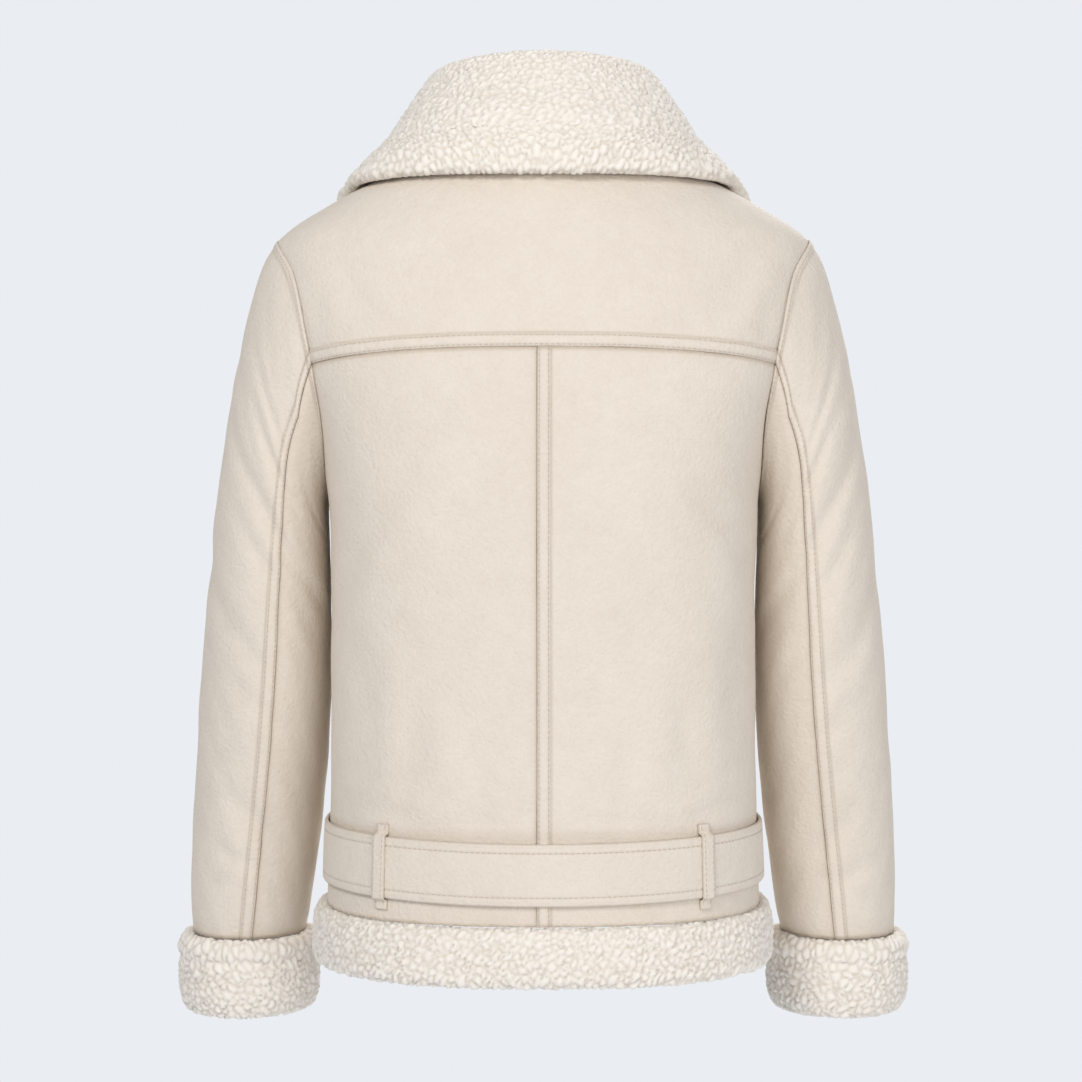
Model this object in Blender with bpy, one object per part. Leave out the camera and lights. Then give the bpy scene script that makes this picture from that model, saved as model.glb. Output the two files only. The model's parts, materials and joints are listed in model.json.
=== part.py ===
"""Faux-shearling biker jacket, worn and hollow, held at the neck by its wearer.

Metres, +Z up. The origin is the middle of the neck seam at the back. The back
faces +Y, the front faces -Y and the wearer's left is +X. The trunk is a stack
of oval sections; every panel is a wall that follows them.
"""

import math

import bpy
import numpy as np

# Driving dimensions
LEATHER = 0.003
SEAM_GAP = 0.0003
LAP = 0.0012
NECK_DROP = 0.085
NECK_CURVE = 1.4
SHOULDER_TIP = -0.076
UNDERARM = -0.281
YOKE_CENTRE = -0.173
BODY_END = -0.6120
ZIP_BOTTOM_ANGLE = 6.0
ZIP_TOP_ANGLE = 20.0
ZIP_HALF_ANGLE = 1.7
ARM_BACK_ANGLE = 24.5
ARM_FRONT_ANGLE = 22.0
ARM_EDGE_INSET = 0.45
BACK_SEAM_ANGLE = 1.9
BELT_TOP = -0.5450
BELT_BOTTOM = -0.5920
BELT_DIP = 0.0045
BUCKLE_ANGLE = 184.0
CUFF_TOP = -0.6473
SEAM_TURN_GAP = 0.16
SLEEVE_LENGTH = 0.58
SLEEVE_RADIUS = 0.06
FOLD_WIDTH = 0.016
CUFF_INNER = 0.0075
CUFF_SHIFT = 0.004
HEM_INNER = 0.0065
COLLAR_BAND_GAP = 0.004
BELT_OUT = 0.0016
BELT_LAP_LIFT = 0.0036
BELT_TURN = 404.0
LOOP_REACH = 0.009
LOOP_HALF_WIDTH = 0.0048
LOOP_HIGH = 0.0050
BACK_LOOP_ANGLE = 47.5
FRONT_LOOP_ANGLE = 118.0
FRAME_LOW = 0.0078
FRAME_HIGH = 0.0112
PRONG_LOW = 0.0115
PRONG_HIGH = 0.0137
SLIDER_LOW = 0.0008
SLIDER_TOP = 0.0042
PULL_PIN_OUT = 0.0057
PULL_PIN_UP = 0.0030

# Trunk sections: height, half width, back depth, front depth, squareness
TRUNK = np.array([
    (0.010, 0.0780, 0.0640, 0.060, 2.00),
    (-0.005, 0.0920, 0.0740, 0.068, 2.00),
    (-0.030, 0.1410, 0.0900, 0.083, 2.00),
    (-0.050, 0.1790, 0.1020, 0.096, 2.05),
    (-0.076, 0.2160, 0.1140, 0.108, 2.15),
    (-0.110, 0.2205, 0.1260, 0.119, 2.30),
    (-0.150, 0.2150, 0.1355, 0.128, 2.50),
    (-0.185, 0.2025, 0.1405, 0.135, 2.60),
    (-0.222, 0.1870, 0.1435, 0.140, 2.70),
    (-0.281, 0.1745, 0.1450, 0.144, 2.70),
    (-0.350, 0.1725, 0.1440, 0.145, 2.60),
    (-0.450, 0.1720, 0.1420, 0.143, 2.50),
    (-0.550, 0.1735, 0.1430, 0.144, 2.40),
    (-0.620, 0.1760, 0.1450, 0.146, 2.40),
    (-0.670, 0.1780, 0.1470, 0.148, 2.40),
])

# Sleeve rings: outer x, outer z, inner x, inner z, centre y, half depth
SLEEVE = np.array([
    (0.2160, -0.0760, 0.1745, -0.2810, -0.002, 0.078),
    (0.2265, -0.0920, 0.1768, -0.2940, -0.002, 0.077),
    (0.2380, -0.1250, 0.1766, -0.3040, -0.003, 0.075),
    (0.2480, -0.1650, 0.1763, -0.3150, -0.004, 0.073),
    (0.2565, -0.2100, 0.1758, -0.3300, -0.006, 0.071),
    (0.2660, -0.2710, 0.1752, -0.3560, -0.010, 0.069),
    (0.2740, -0.3360, 0.1752, -0.3960, -0.016, 0.067),
    (0.2810, -0.4020, 0.1762, -0.4470, -0.025, 0.066),
    (0.2870, -0.4670, 0.1800, -0.5020, -0.035, 0.064),
    (0.2920, -0.5330, 0.1865, -0.5580, -0.045, 0.061),
    (0.2955, -0.5900, 0.1930, -0.6050, -0.051, 0.058),
    (0.2970, -0.6475, 0.1995, -0.6475, -0.056, 0.056),
])

# Collar rings above the neck seam: half width, back depth, front depth,
# height at the back, at the side and in front, and how much wider it is in front
COLLAR = np.array([
    (0.0860, 0.0690, 0.080, 0.022, 0.018, -0.050, 0.0),
    (0.0780, 0.0610, 0.082, 0.048, 0.044, -0.030, 0.0),
    (0.0800, 0.0620, 0.088, 0.061, 0.057, -0.018, 0.0),
    (0.0890, 0.0700, 0.096, 0.058, 0.054, -0.020, 0.0),
    (0.1080, 0.0850, 0.112, 0.032, 0.028, -0.066, 0.0),
    (0.1250, 0.1000, 0.140, 0.004, 0.002, -0.092, 0.008),
])
COLLAR_EDGE_BACK = -0.040
COLLAR_EDGE_SIDE = -0.038
COLLAR_EDGE_FRONT = -0.135
COLLAR_END = 157.0
COLLAR_THICK = 0.010
COLLAR_BAND_START = 0.87

# Pile band at the hem: height below its top as a share, outward offset
HEM_PROFILE = np.array([
    (0.00, 0.0025), (0.10, 0.0082), (0.45, 0.0102), (0.85, 0.0088), (1.00, 0.0020),
])
HEM_TOP = -0.6125
HEM_BOTTOM = -0.6575

# Pile cuff: share of its height, outward offset
CUFF_PROFILE = np.array([
    (0.00, 0.0030), (0.05, 0.0090), (0.18, 0.0108), (0.34, 0.0098),
    (0.68, 0.0112), (0.92, 0.0075), (1.00, 0.0000),
])
CUFF_BOTTOM = -0.7120

# Soft folds of a sleeve: place along it, angle round it, depth, length, turn
SLEEVE_FOLDS = np.array([
    (0.42, 70.0, 0.0022, 0.10, 30.0),
    (0.52, 118.0, 0.0026, 0.10, 38.0),
    (0.60, 55.0, 0.0020, 0.08, 34.0),
    (0.56, -75.0, 0.0030, 0.09, 46.0),
    (0.66, -95.0, 0.0024, 0.08, 40.0),
    (0.84, 95.0, 0.0022, 0.07, 42.0),
    (0.86, -60.0, 0.0022, 0.07, 44.0),
])

# Finishes: colour, metallic, roughness
FINISHES = {
    "leather": ((0.76, 0.69, 0.62), 0.0, 0.75),
    "pile": ((0.84, 0.78, 0.70), 0.0, 0.95),
    "metal": ((0.42, 0.40, 0.38), 1.0, 0.32),
    "tape": ((0.60, 0.53, 0.46), 0.0, 0.85),
}

ARM_BACK = [0.0, 15.0, 30.0, 46.0, 61.0, 76.5, 92.0, 110.0, 127.0, 145.0, 162.0, 180.0]
ARM_FRONT = [360.0, 344.0, 328.0, 312.0, 297.0, 281.0, 266.0, 250.0, 232.0, 215.0, 197.0, 180.0]


def clear_scene():
    """Remove every object of the scene."""
    for thing in list(bpy.data.objects):
        bpy.data.objects.remove(thing, do_unlink=True)


def finish(kind):
    """Return the material of one kind, made on first use."""
    if kind in bpy.data.materials:
        return bpy.data.materials[kind]
    colour, metallic, roughness = FINISHES[kind]
    material = bpy.data.materials.new(kind)
    material.use_nodes = True
    shader = material.node_tree.nodes["Principled BSDF"]
    shader.inputs["Base Color"].default_value = (*colour, 1.0)
    shader.inputs["Metallic"].default_value = metallic
    shader.inputs["Roughness"].default_value = roughness
    return material


def table_at(table, key, place):
    """Read a table's columns at a place on its key column, as a smooth curve."""
    keys = table[:, key]
    order = np.argsort(keys)
    keys = keys[order]
    rows = table[order]
    slopes = np.gradient(rows, keys, axis=0)
    i = int(np.clip(np.searchsorted(keys, place) - 1, 0, len(keys) - 2))
    span = keys[i + 1] - keys[i]
    t = (place - keys[i]) / span
    a = 2 * t ** 3 - 3 * t ** 2 + 1
    b = t ** 3 - 2 * t ** 2 + t
    c = 3 * t ** 2 - 2 * t ** 3
    d = t ** 3 - t ** 2
    return a * rows[i] + b * span * slopes[i] + c * rows[i + 1] + d * span * slopes[i + 1]


def section(height):
    """Return half width, back depth, front depth and squareness at a height."""
    return table_at(TRUNK, 0, height)[1:]


def trunk_point(angle, height):
    """Return the trunk's outer point at an angle from the back's middle."""
    half, back, front, square = section(height)
    s = math.sin(math.radians(angle))
    c = math.cos(math.radians(angle))
    depth = back if c >= 0 else front
    radius = ((abs(s) / half) ** square + (abs(c) / depth) ** square) ** (-1 / square)
    return np.array((radius * s, radius * c, height))


def trunk_normal(angle, height):
    """Return the outward normal of the trunk at an angle and a height."""
    across = trunk_point(angle + 0.5, height) - trunk_point(angle - 0.5, height)
    down = trunk_point(angle, height - 0.002) - trunk_point(angle, height + 0.002)
    normal = np.cross(across, down)
    return normal / np.linalg.norm(normal)


def trunk_offset(angle, height, out):
    """Return the trunk's point moved out along its normal."""
    return trunk_point(angle, height) + trunk_normal(angle, height) * out


def body(name, loops, kind, closed=False):
    """Build one closed body from a run of loops, which pair outer with inner points.

    Each loop holds its outer points and then its inner points in reverse, so
    that point i faces point -1-i and an open run is closed by ladders of faces.
    """
    loops = np.asarray(loops, dtype=float)
    count, size = loops.shape[:2]
    faces = []
    for i in range(count if closed else count - 1):
        here = i * size
        there = ((i + 1) % count) * size
        for j in range(size):
            k = (j + 1) % size
            faces.append((here + j, there + j, there + k, here + k))
    if not closed:
        for j in range(size // 2 - 1):
            faces.append((j, j + 1, size - 2 - j, size - 1 - j))
            last = (count - 1) * size
            faces.append((last + j, last + size - 1 - j, last + size - 2 - j, last + j + 1))
    points = loops.reshape(-1, 3)
    volume = 0.0
    for face in faces:
        corners = points[list(face)]
        volume += np.dot(corners[0], np.cross(corners[1], corners[2]))
        volume += np.dot(corners[0], np.cross(corners[2], corners[3]))
    if volume < 0:
        faces = [face[::-1] for face in faces]
    mesh = bpy.data.meshes.new(name)
    mesh.from_pydata(points.tolist(), [], faces)
    mesh.update()
    mesh.shade_smooth()
    mesh.set_sharp_from_angle(angle=math.radians(40))
    mesh.materials.append(finish(kind))
    thing = bpy.data.objects.new(name, mesh)
    bpy.context.collection.objects.link(thing)
    return thing


def wall_loop(points, normals, thick, raised=0.0):
    """Pair a run of outer points with the points a wall's thickness inside."""
    points = np.asarray(points)
    normals = np.asarray(normals)
    lift = np.asarray(raised).reshape(-1, 1) if np.ndim(raised) else raised
    outer = points + normals * lift
    inner = points - normals * thick
    return np.concatenate((outer, inner[::-1]))


def arm_place(phi):
    """Return the trunk angle and height of the armhole at an angle round it."""
    s = math.sin(math.radians(phi))
    reach = ARM_BACK_ANGLE if s >= 0 else ARM_FRONT_ANGLE
    middle = (SHOULDER_TIP + UNDERARM) / 2
    half = (SHOULDER_TIP - UNDERARM) / 2
    return 90.0 - reach * s, middle + half * math.cos(math.radians(phi))


def side_rows():
    """Return the heights of the rows along the side seam."""
    return list(np.linspace(UNDERARM, BODY_END, 11))[1:]


def neck_height(angle):
    """Return the height of the neck seam at an angle from the back's middle."""
    turn = abs(angle)
    if turn <= 90:
        return -0.005 * (turn / 90) ** 3
    share = (180 - min(turn, 360 - turn)) / 90
    return -NECK_DROP + (NECK_DROP - 0.005) * share ** NECK_CURVE


def yoke():
    """Build the back yoke, which laps over the back panels."""
    ridge = [(90.0, z) for z in np.linspace(neck_height(90), SHOULDER_TIP, 6)]
    arm = [arm_place(phi) for phi in ARM_BACK[1:7]]
    edges = ridge + arm
    heights = np.linspace(0.0, YOKE_CENTRE, len(edges))
    shares = np.linspace(-1, 1, 19)
    columns = []
    for share in shares:
        points = []
        normals = []
        raised = []
        for (edge_angle, edge_z), centre_z in zip(edges, heights):
            angle = edge_angle * share
            z = centre_z + (edge_z - centre_z) * abs(share) ** 3
            points.append(trunk_point(angle, z))
            normals.append(trunk_normal(angle, z))
            raised.append(0.0)
        run = points[-1] - points[-2]
        step = run / np.linalg.norm(run)
        points[-1] = points[-1] - step * SEAM_GAP
        band = points[-1] - step * 0.010
        points[-2] = band
        raised[-1] = LAP
        raised[-2] = LAP
        points.insert(-2, band - step * 0.0015)
        normals.insert(-2, normals[-2])
        raised.insert(-2, 0.0)
        columns.append(wall_loop(points, normals, LEATHER, raised))
    body("yoke", columns, "leather")


def back_panel(name, side):
    """Build one back panel, from the centre seam round to the side seam."""
    arm = [arm_place(phi) for phi in ARM_BACK[6:]]
    edges = arm + [(90.0, z) for z in side_rows()]
    heights = np.linspace(YOKE_CENTRE, BODY_END, len(edges))
    shares = list(np.linspace(0, 1, 10))
    gap = 0.1
    columns = []
    for i, share in enumerate(shares):
        points = []
        normals = []
        for (edge_angle, edge_z), centre_z in zip(edges, heights):
            angle = edge_angle * share * side
            z = centre_z + (edge_z - centre_z) * share ** 3
            if i == 0:
                angle = BACK_SEAM_ANGLE + (gap if side > 0 else 0.0)
                z = centre_z
            points.append(trunk_point(angle, z))
            normals.append(trunk_normal(angle, z))
        lift = LAP if i == 0 and side < 0 else 0.0
        columns.append(wall_loop(points, normals, LEATHER, lift))
        if i == 0 and side < 0:
            for angle, rise in ((-1.9, LAP), (-2.4, 0.0)):
                points = [trunk_point(angle, z) for z in heights]
                normals = [trunk_normal(angle, z) for z in heights]
                columns.append(wall_loop(points, normals, LEATHER, rise))
    body(name, columns, "leather")


def zip_angle(height):
    """Return the trunk angle of the zip's line at a height."""
    share = (height - HEM_BOTTOM) / (-NECK_DROP - HEM_BOTTOM)
    return 180.0 - ZIP_BOTTOM_ANGLE - (ZIP_TOP_ANGLE - ZIP_BOTTOM_ANGLE) * share


def front_edge_angle(side, edge_angle, edge_z, centre_z):
    """Return the angle of a front panel's zip edge on one of its rows."""
    start = 180.0
    for _ in range(8):
        place = (180 - min(start, 360 - start)) / (180 - edge_angle)
        line = zip_angle(centre_z + (edge_z - centre_z) * place ** NECK_CURVE)
        start = line - ZIP_HALF_ANGLE if side > 0 else 360 - line - ZIP_HALF_ANGLE
    return start


def front_panel(name, side):
    """Build one front panel, from the zip round to the side seam."""
    ridge = [(90.0, z) for z in np.linspace(neck_height(90), SHOULDER_TIP, 6)]
    arm = [arm_place(phi) for phi in ARM_FRONT[1:]]
    edges = ridge + arm + [(90.0, z) for z in side_rows()]
    heights = np.linspace(-NECK_DROP, BODY_END, len(edges))
    columns = []
    for share in np.linspace(0, 1, 10):
        points = []
        normals = []
        for (edge_angle, edge_z), centre_z in zip(edges, heights):
            start = front_edge_angle(side, edge_angle, edge_z, centre_z)
            turn = start + (edge_angle + ARM_EDGE_INSET - start) * share
            place = (180 - min(turn, 360 - turn)) / (180 - edge_angle)
            z = centre_z + (edge_z - centre_z) * place ** NECK_CURVE
            points.append(trunk_point(turn * side, z))
            normals.append(trunk_normal(turn * side, z))
        columns.append(wall_loop(points, normals, LEATHER * (0.75 if share == 1 else 1.0)))
    body(name, columns, "leather")


def back_seam_angle(share):
    """Return the angle round the sleeve of its back seam, along its length."""
    return float(np.interp(share, (0, 0.12, 0.5, 1), (92.0, 104.0, 106.0, 101.0)))


def front_seam_angle(share):
    """Return the angle round the sleeve of its front seam, along its length."""
    return float(np.interp(share, (0, 1), (250.0, 262.0)))


def fold_depth(share, phi):
    """Return how far the sleeve's folds draw it in at a place."""
    depth = 0.0
    for place, angle, deep, length, turn in SLEEVE_FOLDS:
        along = (share - place) * SLEEVE_LENGTH
        across = (((phi - angle + 180) % 360) - 180) / 57.3 * SLEEVE_RADIUS
        slope = math.radians(turn)
        u = across * math.cos(slope) + along * math.sin(slope)
        v = along * math.cos(slope) - across * math.sin(slope)
        depth += deep * math.exp(-(v / FOLD_WIDTH) ** 2) * math.exp(-(u / length / 0.6) ** 2)
    return depth


def sleeve_ring_point(side, share, phi):
    """Return a sleeve's outer point and its normal within the ring."""
    rows = np.column_stack((np.linspace(0, 1, len(SLEEVE)), SLEEVE))
    ox, oz, ix, iz, cy, deep = table_at(rows, 0, share)[1:]
    c = math.cos(math.radians(phi))
    s = math.sin(math.radians(phi))
    middle = np.array(((ox + ix) / 2, cy, (oz + iz) / 2))
    reach = np.array(((ox - ix) / 2, 0.0, (oz - iz) / 2))
    length = np.linalg.norm(reach)
    depth = np.array((0.0, 1.0, 0.0))
    point = middle + reach * c + depth * deep * s
    normal = reach / length * (c / length) + depth * (s / deep)
    normal /= np.linalg.norm(normal)
    angle, z = arm_place(phi)
    first = table_at(rows, 0, 0.0)[1:]
    start = np.array((
        (first[0] + first[2]) / 2 + (first[0] - first[2]) / 2 * c,
        first[4] + first[5] * s,
        (first[1] + first[3]) / 2 + (first[1] - first[3]) / 2 * c,
    ))
    fade = max(0.0, 1 - share / 0.3) ** 2
    point = point + (trunk_point(angle, z) - start) * fade
    point = point - normal * fold_depth(share, phi) * min(1.0, share / 0.15)
    return point * (side, 1, 1), normal * (side, 1, 1)


def sleeve_piece(name, side, under):
    """Build a sleeve's top piece or its narrower under piece."""
    shares = np.concatenate((np.linspace(0, 0.3, 7), np.linspace(0.3, 1, 13)[1:]))
    if under:
        starts = ARM_BACK[6:] + ARM_FRONT[7:-1][::-1]
    else:
        starts = [phi - 360 for phi in ARM_FRONT[1:8][::-1]] + ARM_BACK[:7]
    columns = []
    for start in starts:
        points = []
        normals = []
        for share in shares:
            back = back_seam_angle(share)
            front = front_seam_angle(share) - (0 if under else 360)
            low, high = (back, front) if under else (front, back)
            span = (start - starts[0]) / (starts[-1] - starts[0])
            phi = low + SEAM_TURN_GAP + (high - low - 2 * SEAM_TURN_GAP) * span
            point, normal = sleeve_ring_point(side, share, phi)
            if share == 0:
                ahead, _ = sleeve_ring_point(side, share + 0.02, phi)
                run = ahead - point
                point = point + run / np.linalg.norm(run) * SEAM_GAP * 1.5
                point = point + np.array((side * SEAM_GAP * 3, 0, 0))
            points.append(point)
            normals.append(normal)
        columns.append(wall_loop(points, normals, LEATHER))
    body(name, columns, "leather")


def cuff(name, side):
    """Build one turned-back pile cuff, a rounded ring round the sleeve's end."""
    rings = []
    for phi in np.linspace(0, 360, 21)[:-1]:
        outer = []
        for share, out in CUFF_PROFILE:
            z = CUFF_TOP - SEAM_GAP * 2 + (CUFF_BOTTOM - CUFF_TOP) * share
            base, normal = sleeve_ring_point(side, 1.0, phi)
            shift = np.array((0.0, -CUFF_SHIFT * share, 0.0))
            outer.append(np.array((base[0], base[1], z)) + normal * out + shift)
        inner = []
        for share, out in CUFF_PROFILE[::-1]:
            z = CUFF_TOP - SEAM_GAP * 2 + (CUFF_BOTTOM - CUFF_TOP) * (0.02 + share * 0.95)
            base, normal = sleeve_ring_point(side, 1.0, phi)
            shift = np.array((0.0, -CUFF_SHIFT * share, 0.0))
            inner.append(np.array((base[0], base[1], z)) - normal * CUFF_INNER + shift)
        rings.append(np.array(outer + inner))
    body(name, rings, "pile", closed=True)


def hem_band():
    """Build the pile band round the hem, open at the zip."""
    loops = []
    for turn in np.linspace(0, 1, 37):
        outer = []
        inner = []
        for share, out in HEM_PROFILE:
            z = HEM_TOP + (HEM_BOTTOM - HEM_TOP) * share
            end = zip_angle(z) - ZIP_HALF_ANGLE
            start = zip_angle(z) + ZIP_HALF_ANGLE - 360
            angle = start + (end - start) * turn
            outer.append(trunk_offset(angle, z, out))
            inner.append(trunk_offset(angle, z, -HEM_INNER + 0.002 * share))
        loops.append(np.array(outer + inner[::-1]))
    body("hem_band", loops, "pile")


def collar_centre(angle, share):
    """Return a point on the collar's middle surface, from neck seam to free edge."""
    turn = math.radians(angle)
    s = math.sin(turn)
    c = math.cos(turn)
    rows = []
    start = trunk_offset(angle, neck_height(angle), 0.0)
    rows.append(start + np.array((0, 0, 0.0008)) - np.array((s, c, 0)) * 0.002)
    for half, back, front, z_back, z_side, z_front, flare in COLLAR:
        depth = back if c >= 0 else front
        half = half + flare * min(0.0, c) ** 2
        z = z_side + ((z_back if c >= 0 else z_front) - z_side) * c * c
        rows.append(np.array((half * s, depth * c, z)))
    level = COLLAR_EDGE_BACK if c >= 0 else COLLAR_EDGE_FRONT
    level = COLLAR_EDGE_SIDE + (level - COLLAR_EDGE_SIDE) * abs(c) ** (3 if c >= 0 else 1.2)
    rows.append(trunk_offset(angle, level, COLLAR_THICK / 2 + 0.0015))
    places = np.linspace(0, 1, len(rows))
    return table_at(np.column_stack((places, rows)), 0, share)[1:]


def collar_normal(angle, share):
    """Return the normal of the collar's middle surface."""
    across = collar_centre(angle + 1, share) - collar_centre(angle - 1, share)
    along = collar_centre(angle, share + 0.01) - collar_centre(angle, share - 0.01)
    normal = np.cross(across, along)
    return normal / np.linalg.norm(normal)


def collar_piece(name, low, high, count):
    """Build a stretch of the collar's rolled wall between two places on its profile."""
    loops = []
    for angle in np.linspace(-COLLAR_END, COLLAR_END, 29):
        front = []
        back = []
        for share in np.linspace(low, high, count):
            point = collar_centre(angle, share)
            normal = collar_normal(angle, share)
            half = COLLAR_THICK / 2 * (0.45 if share in (0.0, 1.0) else 1.0)
            front.append(point + normal * half)
            back.append(point - normal * half)
        loops.append(np.array(front + back[::-1]))
    body(name, loops, "pile")


def belt_height(angle, share):
    """Return a height across the belt, which dips a little at the back."""
    dip = BELT_DIP * max(0.0, math.cos(math.radians(angle))) ** 2
    return BELT_TOP + (BELT_BOTTOM - BELT_TOP) * share - dip


def belt():
    """Build the belt as one strap whose end laps over its start at the buckle."""
    start = BUCKLE_ANGLE
    loops = []
    for angle in np.linspace(start, start + BELT_TURN, 50):
        lap = np.clip((angle - start - 345) / 14, 0, 1)
        low = BELT_OUT + BELT_LAP_LIFT * lap * lap * (3 - 2 * lap)
        tip = np.clip((angle - start - BELT_TURN + 8) / 8, 0, 1)
        outer = []
        inner = []
        for share in (0.0, 0.5, 1.0):
            place = 0.5 + (share - 0.5) * (1 - 0.55 * tip ** 2)
            z = belt_height(angle, place)
            outer.append(trunk_offset(angle, z, low + LEATHER))
            inner.append(trunk_offset(angle, z, low))
        loops.append(np.array(outer + inner[::-1]))
    body("belt", loops, "leather")


def belt_loop(name, angle, half_width, high):
    """Build one belt carrier, a strap that arches over the belt."""
    dip = BELT_DIP * max(0.0, math.cos(math.radians(angle))) ** 2
    top = BELT_TOP - dip + LOOP_REACH
    bottom = BELT_BOTTOM - dip - LOOP_REACH
    rows = (
        (top, 0.0004, 0.0022), (top - 0.0065, 0.0004, 0.0026),
        (top - 0.0085, high, high + 0.0020), ((top + bottom) / 2, high, high + 0.0022),
        (bottom + 0.0085, high, high + 0.0020), (bottom + 0.0065, 0.0004, 0.0026),
        (bottom, 0.0004, 0.0022),
    )
    loops = []
    turn = math.degrees(half_width / 0.15)
    for at in (angle - turn, angle, angle + turn):
        outer = [trunk_offset(at, z, out) for z, low, out in rows]
        inner = [trunk_offset(at, z, low) for z, low, out in rows]
        loops.append(np.array(outer + inner[::-1]))
    body(name, loops, "leather")


def front_frame(angle, height):
    """Return the across, out and up directions of the trunk at a place."""
    out = trunk_normal(angle, height)
    across = np.cross(out, np.array((0.0, 0.0, 1.0)))
    across /= np.linalg.norm(across)
    return across, out, np.cross(across, out)


def block(name, kind, centre, frame, outline, low, high, hole=None):
    """Build a flat plate from an outline in across and up, with an optional hole."""
    across, out, up = frame

    def place(corner, depth):
        return centre + across * corner[0] + up * corner[1] + out * depth

    if hole is None:
        count = len(outline)
        points = [place(c, low) for c in outline] + [place(c, high) for c in outline]
        faces = [tuple(range(count))[::-1], tuple(range(count, 2 * count))]
        for i in range(count):
            j = (i + 1) % count
            faces.append((i, j, count + j, count + i))
        mesh = bpy.data.meshes.new(name)
        mesh.from_pydata([tuple(p) for p in points], [], faces)
        volume = np.dot(np.cross(across, up), out)
        if volume < 0:
            mesh.flip_normals()
        mesh.materials.append(finish(kind))
        thing = bpy.data.objects.new(name, mesh)
        bpy.context.collection.objects.link(thing)
        return thing
    loops = []
    for edge, inside in zip(outline, hole):
        loops.append(np.array((place(edge, high), place(inside, high),
                               place(inside, low), place(edge, low))))
    return body(name, loops, kind, closed=True)


def rounded(half_x, half_y, radius, steps=3):
    """Return the outline of a rounded rectangle."""
    outline = []
    for quarter, (sx, sy) in enumerate(((1, 1), (-1, 1), (-1, -1), (1, -1))):
        for k in range(steps + 1):
            turn = math.radians(quarter * 90 + 90 * k / steps)
            outline.append((
                sx * (half_x - radius) + radius * math.cos(turn),
                sy * (half_y - radius) + radius * math.sin(turn),
            ))
    return outline


def buckle():
    """Build the buckle's frame and its prong."""
    angle = BUCKLE_ANGLE
    z = (BELT_TOP + BELT_BOTTOM) / 2
    frame = front_frame(angle, z)
    centre = trunk_point(angle, z)
    outer = rounded(0.0235, 0.0330, 0.008)
    inner = rounded(0.0180, 0.0275, 0.005)
    block("buckle_frame", "metal", centre, frame, outer, FRAME_LOW, FRAME_HIGH, inner)
    prong = rounded(0.0215, 0.0021, 0.0020, 2)
    block("buckle_prong", "metal", centre, frame, prong, PRONG_LOW, PRONG_HIGH)


def strip_on_zip(name, kind, half_width, low, high, top, bottom, count):
    """Build a strip that follows the zip's line on the trunk."""
    loops = []
    for z in np.linspace(top, bottom, count):
        angle = zip_angle(z)
        outer = []
        inner = []
        for side in (-1.0, 1.0):
            turn = math.degrees(half_width / 0.146) * side
            outer.append(trunk_offset(angle + turn, z, high))
            inner.append(trunk_offset(angle + turn, z, low))
        loops.append(np.array(outer + inner[::-1]))
    body(name, loops, kind)


def zip_line():
    """Build the zip's tape and chain, its slider and the pull tab that swings on it."""
    top = -NECK_DROP - 0.012
    strip_on_zip("zip_tape", "tape", 0.0039, -0.0028, -0.0012, top, -0.648, 24)
    strip_on_zip("zip_chain", "metal", 0.0022, -0.0009, 0.0003, top - 0.010, -0.648, 24)
    z = top - 0.012
    angle = zip_angle(z)
    frame = front_frame(angle, z)
    across, out, up = frame
    centre = trunk_point(angle, z)
    slider = rounded(0.0034, 0.0070, 0.0018, 2)
    block("zip_slider", "metal", centre, frame, slider, SLIDER_LOW, SLIDER_TOP)
    arch = ((0.0064, 0.0045), (0.0064, 0.0086), (-0.0004, 0.0086), (-0.0004, 0.0045))
    under = ((0.0052, 0.0045), (0.0052, 0.0074), (0.0008, 0.0074), (0.0008, 0.0045))
    loops = []
    for x in (-0.0012, 0.0, 0.0012):
        rim = [centre + across * x + up * y + out * z for y, z in arch + under[::-1]]
        loops.append(np.array(rim))
    body("zip_bridge", loops, "metal")
    pin = centre + out * PULL_PIN_OUT + up * PULL_PIN_UP
    tab = [(0.0036, 0.0010), (-0.0036, 0.0010), (-0.0046, -0.0300), (-0.0030, -0.0335),
           (0.0030, -0.0335), (0.0046, -0.0300)]
    hole = [(0.0018, -0.0010), (-0.0018, -0.0010), (-0.0026, -0.0262), (-0.0017, -0.0285),
            (0.0017, -0.0285), (0.0026, -0.0262)]
    block("pull_tab", "metal", pin, frame, tab, -0.0007, 0.0007, hole)


def main():
    """Build every piece of the jacket."""
    clear_scene()
    yoke()
    back_panel("back_left", 1)
    back_panel("back_right", -1)
    front_panel("front_left", 1)
    front_panel("front_right", -1)
    for side, word in ((1, "left"), (-1, "right")):
        sleeve_piece(f"top_sleeve_{word}", side, False)
        sleeve_piece(f"under_sleeve_{word}", side, True)
        cuff(f"cuff_{word}", side)
    hem_band()
    collar_piece("collar", 0.0, COLLAR_BAND_START, 9)
    collar_piece("collar_band", COLLAR_BAND_START + COLLAR_BAND_GAP, 1.0, 4)
    belt()
    for name, angle in (("loop_back_left", BACK_LOOP_ANGLE), ("loop_back_right", -BACK_LOOP_ANGLE),
                        ("loop_front_left", FRONT_LOOP_ANGLE), ("loop_front_right", -FRONT_LOOP_ANGLE)):
        belt_loop(name, angle, LOOP_HALF_WIDTH, LOOP_HIGH)
    buckle()
    zip_line()


main()
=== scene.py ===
"""Looks of the faux-shearling biker jacket: suede panels, curled pile, stitching, belt and zip.

The shells follow the same named forms as the solids: a trunk of oval sections,
sleeves of slanted rings and a rolled collar. Metres, +Z up, the back faces +Y.
"""

import json
import logging
import math
from dataclasses import dataclass, field
from enum import Enum

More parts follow.
